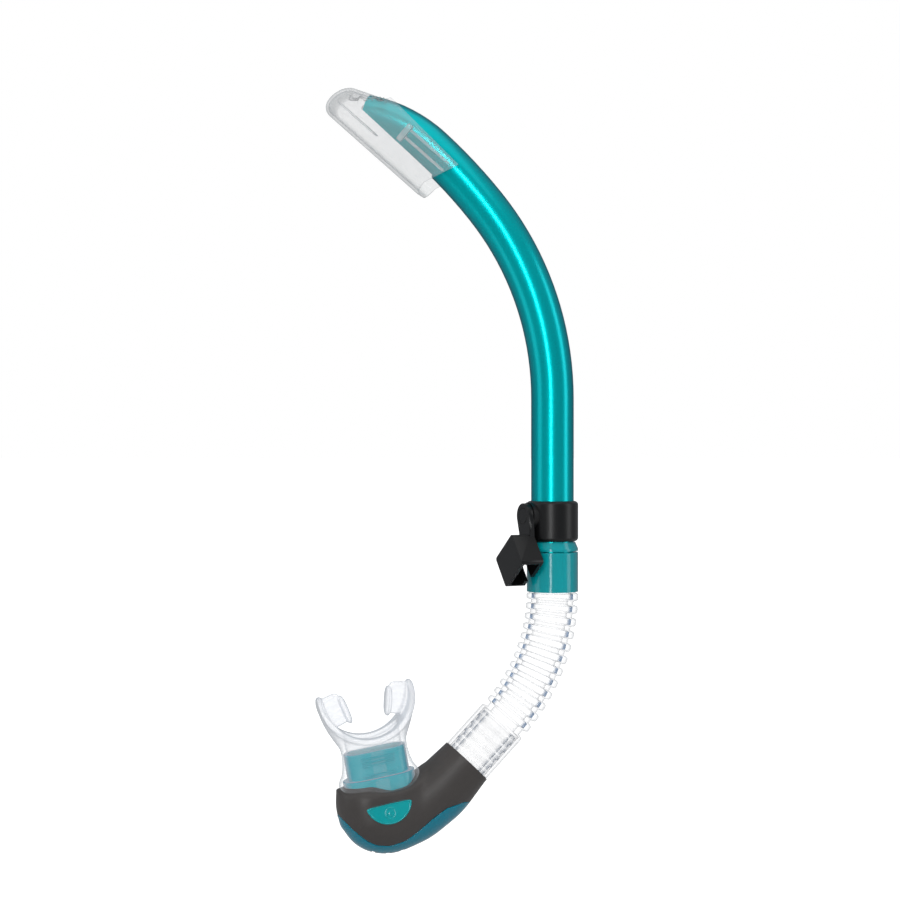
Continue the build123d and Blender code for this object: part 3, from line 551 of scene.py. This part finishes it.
def hose_line(distance):
    """Centre and outward direction at each distance from the hose's top: a straight neck, an arc,
    then the straight cuff."""
    turn = np.clip((distance - neck_length) / HOSE_BEND_R, 0.0, HOSE_BEND)
    arc_z = coupler_foot - HOSE_BEND_R * np.sin(turn)
    on_arc = np.stack([-HOSE_BEND_R * (1 - np.cos(turn)), 0 * turn, arc_z], -1)
    before = np.clip(neck_length - distance, 0.0, None)[:, None] * np.array([0.0, 0.0, 1.0])
    after = np.clip(distance - neck_length - arc_length, 0.0, None)[:, None] * down
    outward = np.stack([np.cos(turn), 0 * turn, -np.sin(turn)], -1)
    return on_arc + before + after, outward


def swell(distance, centres, half_width, edge):
    """1 over each rib and 0 between, with a rounded shoulder as wide as edge: the rest of a circle."""
    gap = np.min(np.abs(distance[:, None] - centres[None, :]), axis=1)
    run = np.clip((half_width - gap) / edge, 0.0, 1.0)
    return np.sqrt(np.clip(1.0 - (1.0 - run) ** 2, 0.0, 1.0))


def tube_grid(distance, radius):
    """A round section of that radius at each distance along the hose."""
    centre, outward = hose_line(distance)
    turn = np.linspace(0, 2 * np.pi, HOSE_COLUMNS, endpoint=False)[None, :, None]
    ring_dir = np.cos(turn) * outward[:, None, :] + np.sin(turn) * Y_AXIS
    return lower(centre[:, None, :] + radius[:, None, None] * ring_dir)


rib_centres = neck_length + FIRST_RIB + np.arange(RIB_COUNT) * rib_pitch
shoulders = np.concatenate([rib_centres + side * (RIB_WIDTH / 2 - step)
                            for side in (-1, 1) for step in (-0.02, 0.0, 0.12, 0.4, 0.8, 1.2)])
cuff_top = neck_length + arc_length
cuff_rows = cuff_top + np.array([-0.05, 0.0, 0.15, 0.5, 1.0, 1.01, CUFF_LENGTH - 1.0, CUFF_LENGTH - 0.35])
neck_rows = [0.0, 0.4, neck_length, neck_length + 0.3]
rows = np.unique(np.concatenate([neck_rows, rib_centres, shoulders, cuff_rows]))
rows = rows[rows < hose_length]
outer_r = ROOT_R + (RIB_R - ROOT_R) * swell(rows, rib_centres, RIB_WIDTH / 2, RIB_ROUND)
in_cuff = np.clip((rows - cuff_top) / 1.0, 0.0, 1.0)
cuff_swell = np.sqrt(1 - (1 - in_cuff) ** 2) * (rows > cuff_top)
outer_r = np.maximum(outer_r, ROOT_R + (CUFF_R - ROOT_R) * cuff_swell)
groove = swell(rows, rib_centres, RIB_WIDTH / 2 - 0.3, 0.5)
inner_r = BORE_R + (GROOVE_R - BORE_R) * groove
inner_r = np.where(rows >= cuff_top + 1.01, CUFF_BORE_R, inner_r)
outer_skin = tube_grid(rows, outer_r)
inner_skin = tube_grid(rows[::-1], inner_r[::-1])
hose_points = np.concatenate([outer_skin, inner_skin])
hose = make_piece("ribbed_hose", [(hose_points, grid_faces(2 * len(rows), HOSE_COLUMNS, wrap_rows=True))])
hose.data.materials.append(hose_silicone)
hose.data.materials.append(groove_silicone_and_shade)
print("hose length, mm:", round(hose_length, 1), "rib pitch:", round(rib_pitch, 2))


# %% The grooves' painted blue-grey shade
# Only the floor of each inner groove takes the bore's finish, which paints the blue-grey shade. The
# bore's rows of vertices come after the outside's, so a face belongs to a groove when both its rows are deep.
corners = np.empty(len(hose.data.loops), dtype=np.int32)
hose.data.loops.foreach_get("vertex_index", corners)
face_rows = corners.reshape(-1, 4) // HOSE_COLUMNS
deep = np.concatenate([np.zeros(len(rows), bool), groove[::-1] > 0.9])
first_row, last_row = face_rows.min(axis=1), face_rows.max(axis=1)
groove_shade_faces = deep[first_row] & deep[last_row] & (last_row - first_row == 1)
hose.data.polygons.foreach_set("material_index", groove_shade_faces.astype(np.int32))
print("groove faces:", int(groove_shade_faces.sum()))
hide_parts("flex_hose")
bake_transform(hose)


# %% [markdown]
# The boot holds the purge chamber. Its form is a chain of round beads that melt into each other,
# from the sleeve that takes the hose, down to the keel and up round the toe, with a collar raised
# on top for the mouthpiece. A loft could give the chain but not the soft join with the collar, so
# the form is a field: the distance to the nearest bead's surface, blended with the collar's. Rays
# sent out from a line inside the boot find where the field is zero, and those hits are the surface.

# %% The boot's field
SPINE = [(13.8, 14.5, 14.4), (0.0, 0.0, 14.4), (-6.0, -6.3, 15.2), (-14.2, -15.0, 16.4), (-28.5, -25.2, 16.9),
         (-43.0, -30.6, 17.2), (-50.6, -29.2, 17.1), (-54.3, -21.4, 15.5)]
BEADS = smooth_line(SPINE, 90, 18)
COLLAR_HALF_LENGTH, COLLAR_HALF_DEPTH = 23.2, 15.0
COLLAR_TOP, COLLAR_FOOT, COLLAR_ROUND = -1.6, -15.0, 2.2
COLLAR_RISE = 5.5
MELT = 4.5


def melt(a, b, reach):
    """The smaller of two fields, with the crease between them rounded over that reach."""
    share = np.clip(0.5 + 0.5 * (b - a) / reach, 0.0, 1.0)
    return b + (a - b) * share - reach * share * (1 - share)


def bead_chain(p):
    """Distance to the nearest bead's surface: beads set so close that the chain looks smooth."""
    flat_p = p[..., [0, 2]] - inlet[[0, 2]]
    field = np.full(flat_p.shape[:-1], np.inf)
    for u, z, radius in BEADS:
        off = flat_p - (u, z)
        field = np.minimum(field, np.sqrt((off ** 2).sum(-1) + p[..., 1] ** 2) - radius)
    return field


def in_mouth(p):
    """Coordinates across, out of and up the mouthpiece's tilted axis."""
    from_seat = p - mouth_at
    return from_seat @ mouth_across, p[..., 1], from_seat @ mouth_up


def seat_height(across):
    """The seat is a saddle: level along the sides and rising at the two ends."""
    return COLLAR_TOP + COLLAR_RISE * np.clip(np.abs(across) / COLLAR_HALF_LENGTH, 0, 1.1) ** 5


def collar(p):
    """Distance to the raised collar: a stadium-shaped post with a rounded, saddle-shaped top."""
    across, out, up = in_mouth(p)
    straight = COLLAR_HALF_LENGTH - COLLAR_HALF_DEPTH
    beyond = np.clip(np.abs(across) - straight, 0.0, None)
    side = np.sqrt(beyond ** 2 + out ** 2) - COLLAR_HALF_DEPTH + COLLAR_ROUND
    top = up - seat_height(across) + COLLAR_ROUND
    foot = COLLAR_FOOT - up
    wall = np.maximum(top, foot)
    outside = np.sqrt(np.clip(side, 0, None) ** 2 + np.clip(wall, 0, None) ** 2)
    return outside + np.minimum(np.maximum(side, wall), 0.0) - COLLAR_ROUND


def boot_field(p):
    """Below zero inside the boot."""
    return melt(bead_chain(p), collar(p), MELT)


# %% Rays from inside the boot
FAN = np.array([[0.0, 0.0, 136.4], [-6.2, -6.5, 136.4], [-14.25, -17.2, 126.6], [-27.35, -25.6, 113.1],
                [-41.5, -29.5, 98.0], [-48.5, -26.5, 78.0]])
CAP_ROWS_FROM = 5.0
RAY_REACH, HALVINGS = 34.0, 26


def ray_frame(row):
    """Origin, up and forward directions of the ray fan at each row. Rows up to 5 slide along the
    boot's line; from 5 to 6 the origin stays and the fan closes over the toe, to its pole."""
    place = np.clip(row, 0, CAP_ROWS_FROM)
    keys = np.arange(len(FAN))
    u, z, angle = (np.interp(place, keys, FAN[:, i]) for i in range(3))
    angle = np.radians(angle)
    origin = inlet + np.stack([u, 0 * u, z], -1)
    up = np.stack([np.cos(angle), 0 * u, np.sin(angle)], -1)
    forward = np.stack([-np.sin(angle), 0 * u, np.cos(angle)], -1)
    return origin, up, forward, np.clip(row - CAP_ROWS_FROM, 0, 1) * np.pi / 2


def boot_hit(row, angle, steps=HALVINGS):
    """The surface point for each row and each angle from the top, near side positive: the ray is
    halved again and again around the place where the field changes sign."""
    origin, up, forward, lift = ray_frame(row)
    near = np.array([0.0, -1.0, 0.0])
    lift = lift[..., None, None]
    around = np.cos(angle)[..., None] * up[:, None, :] + np.sin(angle)[..., None] * near
    ray = np.cos(lift) * around + np.sin(lift) * forward[:, None, :]
    low, high = np.zeros(angle.shape), np.full(angle.shape, RAY_REACH)
    for _ in range(steps):
        middle = (low + high) / 2
        inside = boot_field(origin[:, None, :] + middle[..., None] * ray) < 0
        low, high = np.where(inside, middle, low), np.where(inside, high, middle)
    return origin[:, None, :] + low[..., None] * ray, ray


# %% [markdown]
# The boot's skin is two mouldings that meet along a wave: a grey grip above and a glossy cover
# below. For each row of rays, the angle where the surface crosses the wave is found by halving,
# and each moulding's grid runs exactly up to it. Its last column turns in, which draws the joint.

# %% The wave between grip and cover
WAVE = np.array([[-76.4, -19.0], [-69.0, -26.4], [-64.0, -31.6], [-57.5, -37.3], [-51.5, -40.6],
                 [-44.0, -41.1], [-35.8, -38.6], [-28.4, -32.9], [-21.4, -26.9], [-13.9, -21.9],
                 [-4.0, -19.9], [3.0, -21.5], [12.0, -27.0]])


def wave_height(u):
    """The wave's height over the inlet at each u, with the corners of its points smoothed away."""
    offsets = np.linspace(-2.5, 2.5, 11)
    weights = np.cos(offsets / 5.0 * np.pi) ** 2
    samples = [w * np.interp(u + o, WAVE[:, 0], WAVE[:, 1]) for o, w in zip(offsets, weights)]
    return sum(samples) / weights.sum()


def wave_angle(row, steps=22):
    """The angle from the top at which each row meets the wave, or a half turn if it stays above."""
    low, high = np.full((len(row), 1), 0.45 * np.pi), np.full((len(row), 1), np.pi)
    for _ in range(steps):
        middle = (low + high) / 2
        hit, _ray = boot_hit(row, middle)
        rel = hit - inlet
        above = rel[..., 2] > wave_height(rel[..., 0])
        low, high = np.where(above, middle, low), np.where(above, high, middle)
    bottom, _ray = boot_hit(row, np.full((len(row), 1), np.pi))
    rel = bottom - inlet
    return np.where(rel[..., 2] > wave_height(rel[..., 0]), np.pi, low)[:, 0]


fine_rows = np.linspace(0.0, 6.0, 1201)
fine_bottom, _ray = boot_hit(fine_rows, np.full((len(fine_rows), 1), np.pi))
fine_gap = (fine_bottom[:, 0, 2] - inlet[2]) - wave_height(fine_bottom[:, 0, 0] - inlet[0])
covered = fine_rows[fine_gap < 0]
cover_start, cover_end = covered.min(), covered.max()
print("cover runs over rows", round(cover_start, 2), "to", round(cover_end, 2))

# %% Grip shell and purge cover
SKIN = 1.4
ROLL = 0.45
DRAIN_SLOT, DRAIN_HALF_WIDTH, DRAIN_SPACING = 2.6, 6.65, 7.8
DRAIN_SLOTS, DRAIN_OFFSET, DRAIN_BELOW = 3, -43.5, 40.0
PORT_STRAIGHT, PORT_R, PORT_FLOOR = 8.8, 8.4, -9.0
drain_edges = inlet[0] + DRAIN_OFFSET + np.concatenate([
    (index - 1) * DRAIN_SPACING + np.array([-0.5, 0.5]) * DRAIN_SLOT for index in range(DRAIN_SLOTS)])
before_toe = fine_rows < CAP_ROWS_FROM
drain_rows = np.interp(-drain_edges, -fine_bottom[before_toe, 0, 0], fine_rows[before_toe])


def edge_columns(count, spare):
    """Columns from -1 to 1, closer at both ends, with spare fractions kept for the rolled edge."""
    middle = np.sin(np.linspace(-np.pi / 2, np.pi / 2, count)) * (1 - spare)
    return np.concatenate([[-1.0, -1.0 + 0.35 * spare], middle, [1.0 - 0.35 * spare, 1.0]])


def skin_grid(row, half_angle, centre_angle, count, roll):
    """Rows of the boot's surface between two wave crossings, half_angle each side of the centre.
    The last column on each side sinks by roll to turn the edge in."""
    fractions = edge_columns(count, 0.035)
    angle = centre_angle + half_angle[:, None] * fractions[None, :]
    hit, ray = boot_hit(row, angle)
    sink = np.where(np.abs(fractions) > 0.999, roll, 0.0)
    sink = sink + np.where((np.abs(fractions) > 0.98) & (np.abs(fractions) <= 0.999), 0.25 * roll, 0.0)
    keep = np.clip((np.pi - np.abs(half_angle)) * 8, 0, 1)[:, None] if centre_angle == 0 else 1.0
    return hit - ray * (sink[None, :] * keep)[..., None]


grip_rows = np.unique(np.concatenate([
    np.linspace(0.0, 5.0, 111), 5.0 + np.sin(np.linspace(0, np.pi / 2, 40)) ** 0.9,
    cover_start + np.linspace(-0.02, 0.3, 14), cover_end + np.linspace(-0.12, 0.02, 14)]))
grip_half = wave_angle(grip_rows)
grip_points = skin_grid(grip_rows, grip_half, 0.0, 120, ROLL)
grip_quads = grid_faces(*grip_points.shape[:2], wrap_columns=False)
middles = grip_points.reshape(-1, 3)[grip_quads].mean(axis=1)
across, out, up = in_mouth(middles)
in_port = np.clip(np.abs(across) - PORT_STRAIGHT, 0, None) ** 2 + out ** 2 < PORT_R ** 2
in_port &= up > PORT_FLOOR
grip = make_piece("boot_grip", [(lower(grip_points), grip_quads[~in_port])])
thicken(grip, SKIN)
grip.data.materials.append(grip_tpe)
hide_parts("grip_shell")
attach(grip, "mouth_unit")

ease = (1 - np.cos(np.linspace(0, np.pi, 90))) / 2
cover_rows = np.unique(np.concatenate([cover_start + (cover_end - cover_start) * ease, drain_rows]))
cover_half = np.pi - wave_angle(cover_rows)
cover_points = skin_grid(cover_rows, cover_half, np.pi, 72, ROLL)
cover_quads = grid_faces(*cover_points.shape[:2], wrap_columns=False)
cover_middles = cover_points.reshape(-1, 3)[cover_quads].mean(axis=1)
low_edges, high_edges = drain_edges[0::2], drain_edges[1::2]
in_slot = ((cover_middles[:, :1] > low_edges) & (cover_middles[:, :1] < high_edges)).any(axis=1)
in_slot &= (np.abs(cover_middles[:, 1]) < DRAIN_HALF_WIDTH) & (cover_middles[:, 2] < inlet[2] - DRAIN_BELOW)
cover = make_piece("boot_cover", [(lower(cover_points), cover_quads[~in_slot])])
thicken(cover, SKIN)
cover.data.materials.append(gloss_pc)
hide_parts("purge_cover")
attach(cover, "mouth_unit")


# %% [markdown]
# The badge is a small glossy insert in the grip's near side, flat on top and round below, with a
# thin raised rim and a plain ring in its middle. It is a round grid stretched to that outline: each
# point is sent out from the middle plane until it meets the boot's surface, and stands a little proud.

# %% Badge
BADGE_HEIGHT, BADGE_ARC_R, BADGE_PROUD = 10.5, 12.69, 0.35
LID_OVER_MIDDLE = 4.0
BADGE_OFFSET = (-45.2, -18.2)
BADGE_CENTRE = inlet + flat(*BADGE_OFFSET) - LID_OVER_MIDDLE * mouth_up
MARK_R, MARK_DROP = 2.7, 0.8


def badge_outline(turn):
    """A bowl. In each direction it reaches to the nearer of a round bottom, an arc centred over the
    badge, and a flat lid; a high power mean of the two rounds the corners where they meet."""
    arc_over = BADGE_ARC_R - BADGE_HEIGHT + LID_OVER_MIDDLE
    toward = np.sin(turn) * arc_over
    to_arc = toward + np.sqrt(toward ** 2 - arc_over ** 2 + BADGE_ARC_R ** 2)
    to_lid = LID_OVER_MIDDLE / np.clip(np.sin(turn), 1e-3, None)
    reach = (to_arc ** -9.0 + to_lid ** -9.0) ** (-1 / 9)
    return np.cos(turn) * reach, np.sin(turn) * reach


def badge_relief(x, z, reach):
    """Height above the boot: a bead round the edge that falls away outside, and a ring in the middle."""
    bead = 0.28 * np.exp(-((reach - 0.93) / 0.035) ** 2)
    mark = 0.22 * np.exp(-((np.hypot(x, z + MARK_DROP) - MARK_R) / 0.35) ** 2)
    dot = 0.22 * np.exp(-(np.hypot(x, z + MARK_DROP) / 1.1) ** 4)
    edge = np.clip((1.0 - reach) / 0.04, 0, 1)
    return BADGE_PROUD * np.sqrt(1 - (1 - edge) ** 2) - 0.2 * (1 - edge) + bead + mark + dot


reach = np.concatenate([np.linspace(0, 0.84, 40), np.linspace(0.855, 1.0, 16)])[:, None]
turn = np.linspace(0, 2 * np.pi, 160, endpoint=False)[None, :]
edge_x, edge_z = badge_outline(turn)
badge_x, badge_z = reach * edge_x, reach * edge_z
middle_plane = BADGE_CENTRE + badge_x[..., None] * mouth_across + badge_z[..., None] * mouth_up
near_y, far_y = np.zeros(badge_x.shape), np.full(badge_x.shape, -30.0)
for _ in range(HALVINGS):
    half_way = (near_y + far_y) / 2
    trial = middle_plane + half_way[..., None] * Y_AXIS
    within = boot_field(trial) < 0
    near_y, far_y = np.where(within, half_way, near_y), np.where(within, far_y, half_way)
stand_out = near_y - badge_relief(badge_x, badge_z, reach)
badge_points = middle_plane + stand_out[..., None] * Y_AXIS
badge = make_piece("badge", [(lower(badge_points), grid_faces(*badge_points.shape[:2]))])
thicken(badge, 1.0)
badge.data.materials.append(badge_pc)
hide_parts("badge_insert")
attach(badge, "mouth_unit")


# %% [markdown]
# The mouthpiece is one silicone moulding: a base stretched over the chamber's port, a pinched
# neck, a lip shield curved round the teeth, and two bite tabs with ridges. It could be sculpted,
# but each part has a plain formula. The parts overlap, and a remesh melts them into one skin,
# the way the mould's fillets do.

# %% Mouthpiece body
SHIELD_CENTRE_Q = 50.0
SHIELD_OUTER_R, SHIELD_INNER_R = 25.9, 22.9
SHIELD_HALF_HEIGHT = 12.0
SHIELD_WRAP = math.radians(93)
BORE_HALF = (14.9, 6.3)
PORT_HALF = (16.65, 8.05)
FLANGE_HALF = (19.25, 10.65)
COLUMNS = 144
around = np.linspace(0, 2 * np.pi, COLUMNS, endpoint=False)
cos_a, sin_a = np.cos(around), np.sin(around)


def mouth_point(p, y, q):
    """Across, out and up along the mouthpiece's axis, to the lower assembly's plane."""
    p, y, q = np.broadcast_arrays(p, y, q)
    return mouth_at + p[..., None] * mouth_across + q[..., None] * mouth_up + y[..., None] * Y_AXIS


def stadium_ring(half_length, half_depth, q):
    """A level ring with a stadium's outline: where the direction meets the straight or the round."""
    roundness = 2 / 2.7
    x = signed_power(cos_a, roundness) * half_length
    y = signed_power(sin_a, roundness) * half_depth
    return np.stack([x, y, np.broadcast_to(q, x.shape)], -1)


def on_shield(radius, wrap, y):
    """A point of the shield: a cylinder about the mouth's centre, at that angle round it."""
    return np.stack([radius * np.sin(wrap), y, SHIELD_CENTRE_Q - radius * np.cos(wrap)], -1)


saddle = COLLAR_RISE * np.abs(signed_power(cos_a, 2 / 2.7)) ** 5
BASE_ROWS = [(20.6, 12.4, -3.4), (21.5, 13.3, -2.6), (21.6, 13.4, -1.6), (21.4, 13.2, 1.0), (20.6, 12.5, 4.5),
             (19.3, 11.4, 9.0), (18.2, 10.5, 13.0), (17.6, 10.0, 17.0), (17.5, 9.8, 20.0), (17.8, 10.0, 23.0)]
base_rings = []
for half_length, half_depth, q in BASE_ROWS:
    fade = np.clip((9.0 - q) / 10.0, 0, 1)
    base_rings.append(stadium_ring(half_length, half_depth, q + saddle * fade))
neck = base_rings[-1]
edge_c, edge_s = signed_power(cos_a, 0.8), signed_power(sin_a, 0.8)
wrap_edge = SHIELD_WRAP * edge_c
height_edge = SHIELD_HALF_HEIGHT * edge_s
outer_edge = on_shield(SHIELD_OUTER_R, wrap_edge, height_edge)
inner_edge = on_shield(SHIELD_INNER_R, wrap_edge, height_edge)
tangent = np.stack([np.cos(wrap_edge), 0 * wrap_edge, np.sin(wrap_edge)], -1) * np.sign(edge_c)[:, None]
end_share = np.abs(edge_c)[:, None]
from_neck = neck + np.array([0, 0, 1.0]) * (1.2 + 3.6 * end_share)
from_neck = from_neck + np.stack([np.sign(cos_a) * np.abs(edge_c) * 1.8, 0 * cos_a, 0 * cos_a], -1)
to_edge = outer_edge - tangent * 14.0 * end_share ** 1.5
to_edge = to_edge - np.stack([0 * cos_a, edge_s * 2.2, 0 * cos_a], -1)
t = np.linspace(0, 1, 26)[1:, None, None]
flare = ((1 - t) ** 3 * neck + 3 * (1 - t) ** 2 * t * from_neck
         + 3 * (1 - t) * t ** 2 * to_edge + t ** 3 * outer_edge)
rim_turn = np.linspace(0, np.pi, 7)[1:-1, None, None]
rim_out = tangent * end_share + np.stack([0 * cos_a, edge_s, 0 * cos_a], -1)
rim_out = rim_out / np.linalg.norm(rim_out, axis=-1, keepdims=True)
rim_mid, rim_half = (outer_edge + inner_edge) / 2, (outer_edge - inner_edge) / 2
rim = rim_mid + np.cos(rim_turn) * rim_half + np.sin(rim_turn) * rim_out * 1.5
wrap_bore = np.arcsin(BORE_HALF[0] / SHIELD_INNER_R) * signed_power(cos_a, 0.74)
height_bore = BORE_HALF[1] * signed_power(sin_a, 0.74)
step = np.linspace(0, 1, 14)[:, None]
inside_face = on_shield(SHIELD_INNER_R, wrap_edge * (1 - step) + wrap_bore * step,
                        height_edge * (1 - step) + height_bore * step)
bore_rings = [stadium_ring(*BORE_HALF, 21.0), stadium_ring(*PORT_HALF, 20.1), stadium_ring(*PORT_HALF, 6.2),
              stadium_ring(*FLANGE_HALF, 6.1), stadium_ring(*FLANGE_HALF, -3.4 + saddle)]
body_rows = np.concatenate([np.stack(base_rings), flare, rim, inside_face, np.stack(bore_rings)])
body_points = lower(mouth_point(body_rows[..., 0], body_rows[..., 1], body_rows[..., 2]))
body_grid = (body_points, grid_faces(*body_points.shape[:2], wrap_rows=True))


# %% Bite tabs
TAB_FOOT, TAB_TOP = 36.0, 52.0
TAB_LEAN = math.radians(13)
PLATE_ACROSS, PLATE_HALF = 18.0, (6.4, 8.6, 1.7)
BLADE_ACROSS, BLADE_DROP, BLADE_HALF = 11.6, 0.4, (1.7, 7.9, 5.4)
RIDGES, KNOB_HEIGHT = 5, 0.55


def tooth_ridges(a, b):
    """Rows of small knobs along the tab, where the teeth hold it."""
    knobs = np.clip(np.cos(b * RIDGES * np.pi / 1.05), 0, None)
    return KNOB_HEIGHT * knobs * np.exp(-((np.abs(a) - 0.25) / 0.35) ** 2)


tab_grids = []
world_axis = {"across": lower(mouth_across), "out": lower(Y_AXIS), "up": lower(mouth_up)}
for side in (-1, 1):
    lean = TAB_LEAN * side
    lean_up = world_axis["up"] * math.cos(lean) + world_axis["across"] * math.sin(lean)
    lean_across = world_axis["across"] * math.cos(lean) - world_axis["up"] * math.sin(lean)
    middle = (TAB_FOOT + TAB_TOP) / 2
    tab_axes = [lean_across, lean_up, world_axis["out"]]
    plate_at = lower(mouth_point(side * PLATE_ACROSS, 0.0, middle))
    plate = slab(tab_axes, plate_at, PLATE_HALF, 0.45, 60, 90, tooth_ridges)
    blade_at = lower(mouth_point(side * BLADE_ACROSS, 0.0, middle - BLADE_DROP))
    blade = slab(tab_axes, blade_at, BLADE_HALF, 0.7, 40, 60)
    tab_grids += [plate, blade]

mouthpiece = make_piece("bite_mouthpiece", [body_grid] + tab_grids)


def melt_together(piece, voxel_mm, smoothing):
    """Turn overlapping closed parts into one skin and keep the result as the piece's own mesh."""
    skin = piece.modifiers.new("one_skin", "REMESH")
    skin.mode = "VOXEL"
    skin.voxel_size = voxel_mm * MM
    soft = piece.modifiers.new("fillets", "SMOOTH")
    soft.factor = 0.5
    soft.iterations = smoothing
    shown = piece.evaluated_get(bpy.context.evaluated_depsgraph_get())
    mesh = bpy.data.meshes.new_from_object(shown)
    piece.modifiers.clear()
    piece.data = mesh
    mesh.shade_smooth()
    print(piece.name, "now", len(mesh.polygons), "faces")


melt_together(mouthpiece, 0.45, 5)
mouthpiece.data.materials.clear()
mouthpiece.data.materials.append(milky_silicone)
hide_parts("mouthpiece")
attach(mouthpiece, "mouth_unit")


# %% [markdown]
# The splash guard is a clear trough that clips over the cut tip of the barrel: a back, two flat
# sides, a domed end and a short roof. Seen from the side its outline has only a few points. The
# surface runs along that outline as a band, rounds over into each side with a large radius, towards
# a line inside the trough, and then runs flat to the edge that lies along the barrel. Rails inside
# grip the barrel's flanks.

# %% Splash guard
GUARD_SLOPE = math.radians(48.2)
GUARD_HALF_WIDTH, GUARD_WALL, GUARD_CORNER = 14.75, 1.5, 7.5
guard_along = np.array([-math.sin(GUARD_SLOPE), 0.0, math.cos(GUARD_SLOPE)])
guard_in = np.array([math.cos(GUARD_SLOPE), 0.0, math.sin(GUARD_SLOPE)])
GUARD_RIM_SKEW, GUARD_DEPTH = 8.2, 27.0
# The line that the rounding turns towards: how far up the trough it ends, and how deep it runs.
LINE_END, LINE_DEPTH = 60.0, 12.0
RAIL_SIDE = 12.2
guard_box = np.array(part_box("splash_guard")) / MM
rim_reach = GUARD_RIM_SKEW * math.sin(GUARD_SLOPE) + GUARD_DEPTH * math.cos(GUARD_SLOPE)
GUARD_ORIGIN = np.array([guard_box[1, 0] - rim_reach, 0.0, guard_box[0, 2]])
print("guard's rim, mm:", np.round(GUARD_ORIGIN, 2))


def guard_point(e, n, y):
    """Up the back, in towards the barrel and across, to the row's frame."""
    e, n, y = np.broadcast_arrays(e, n, y)
    return GUARD_ORIGIN + e[..., None] * guard_along + n[..., None] * guard_in + y[..., None] * Y_AXIS


BACK_AND_DOME = [(0.0, 0.0), (68.6, 0.0), (72.3, 3.5), (72.6, 9.5), (70.6, 15.6), (66.8, 19.8),
                 (57.3, 23.3), (46.8, 26.8)]
band = smooth_line(BACK_AND_DOME, 120, 6)
line_e = np.minimum(band[:, 0], LINE_END)
toward_line = np.stack([line_e - band[:, 0], LINE_DEPTH - band[:, 1]], -1)
inward = toward_line / np.linalg.norm(toward_line, axis=1, keepdims=True)
share = np.linspace(0, 1, len(band))
corner_share = np.interp(share, [0.0, 0.55, 0.86, 1.0], [1.0, 1.0, 0.8, 0.0])[:, None]
inset = band + inward * GUARD_CORNER * corner_share
turned = np.linspace(0, np.pi / 2, 9)[None, :, None]
side_edge_e = np.interp(share, [0.0, 0.50, 0.58], [-GUARD_RIM_SKEW, 44.3, 46.8])
side_edge_n = np.interp(share, [0.0, 0.50, 0.58], [26.8, 30.0, 26.8])
side_edge = np.stack([side_edge_e, side_edge_n], -1)
corner_r = GUARD_CORNER * corner_share[:, None, :]
rounded = inset[:, None, :] - inward[:, None, :] * corner_r * np.cos(turned)
rounded_y = GUARD_HALF_WIDTH - corner_r[..., 0] * (1 - np.sin(turned[..., 0]))
flat_part = np.linspace(0, 1, 12)[None, 1:, None]
wall = inset[:, None, :] * (1 - flat_part) + side_edge[:, None, :] * flat_part
wall_y = np.full(wall.shape[:2], GUARD_HALF_WIDTH)
half_band = np.concatenate([rounded, wall], axis=1)
half_y = np.concatenate([rounded_y, wall_y], axis=1)
back_share = np.linspace(-1, 1, 9)[None, 1:-1]
back_y = rounded_y[:, :1] * back_share
back = np.repeat(band[:, None, :], back_y.shape[1], axis=1)
guard_en = np.concatenate([half_band[:, ::-1], back, half_band], axis=1)
guard_y = np.concatenate([-half_y[:, ::-1], back_y, half_y], axis=1)
guard_points = guard_point(guard_en[..., 0], guard_en[..., 1], guard_y)
guard_faces = grid_faces(*guard_points.shape[:2], wrap_columns=False)
guard_shell = make_piece("splash_hood", [(guard_points, guard_faces)])
thicken(guard_shell, GUARD_WALL)

guard_axes = [guard_along, guard_in, Y_AXIS]
rails = []
for side in (-1, 1):
    for rail_n in (18.8, 23.6):
        rails.append(slab(guard_axes, guard_point(10.5, rail_n, side * RAIL_SIDE), (14.0, 0.8, 1.4), 0.2))
    rails.append(slab(guard_axes, guard_point(26.5, 20.5, side * RAIL_SIDE), (1.6, 5.4, 1.4), 0.25))
rails.append(slab(guard_axes, guard_point(55.5, 8.8, 0.0), (14.0, 0.5, 5.0), 0.2))
guard_rails = make_piece("hood_rails", rails)
for piece, look in ((guard_shell, clear_pc), (guard_rails, rail_pc)):
    piece.data.materials.append(look)
    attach(piece, "barrel")
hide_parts("splash_guard")
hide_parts("splash_guard")
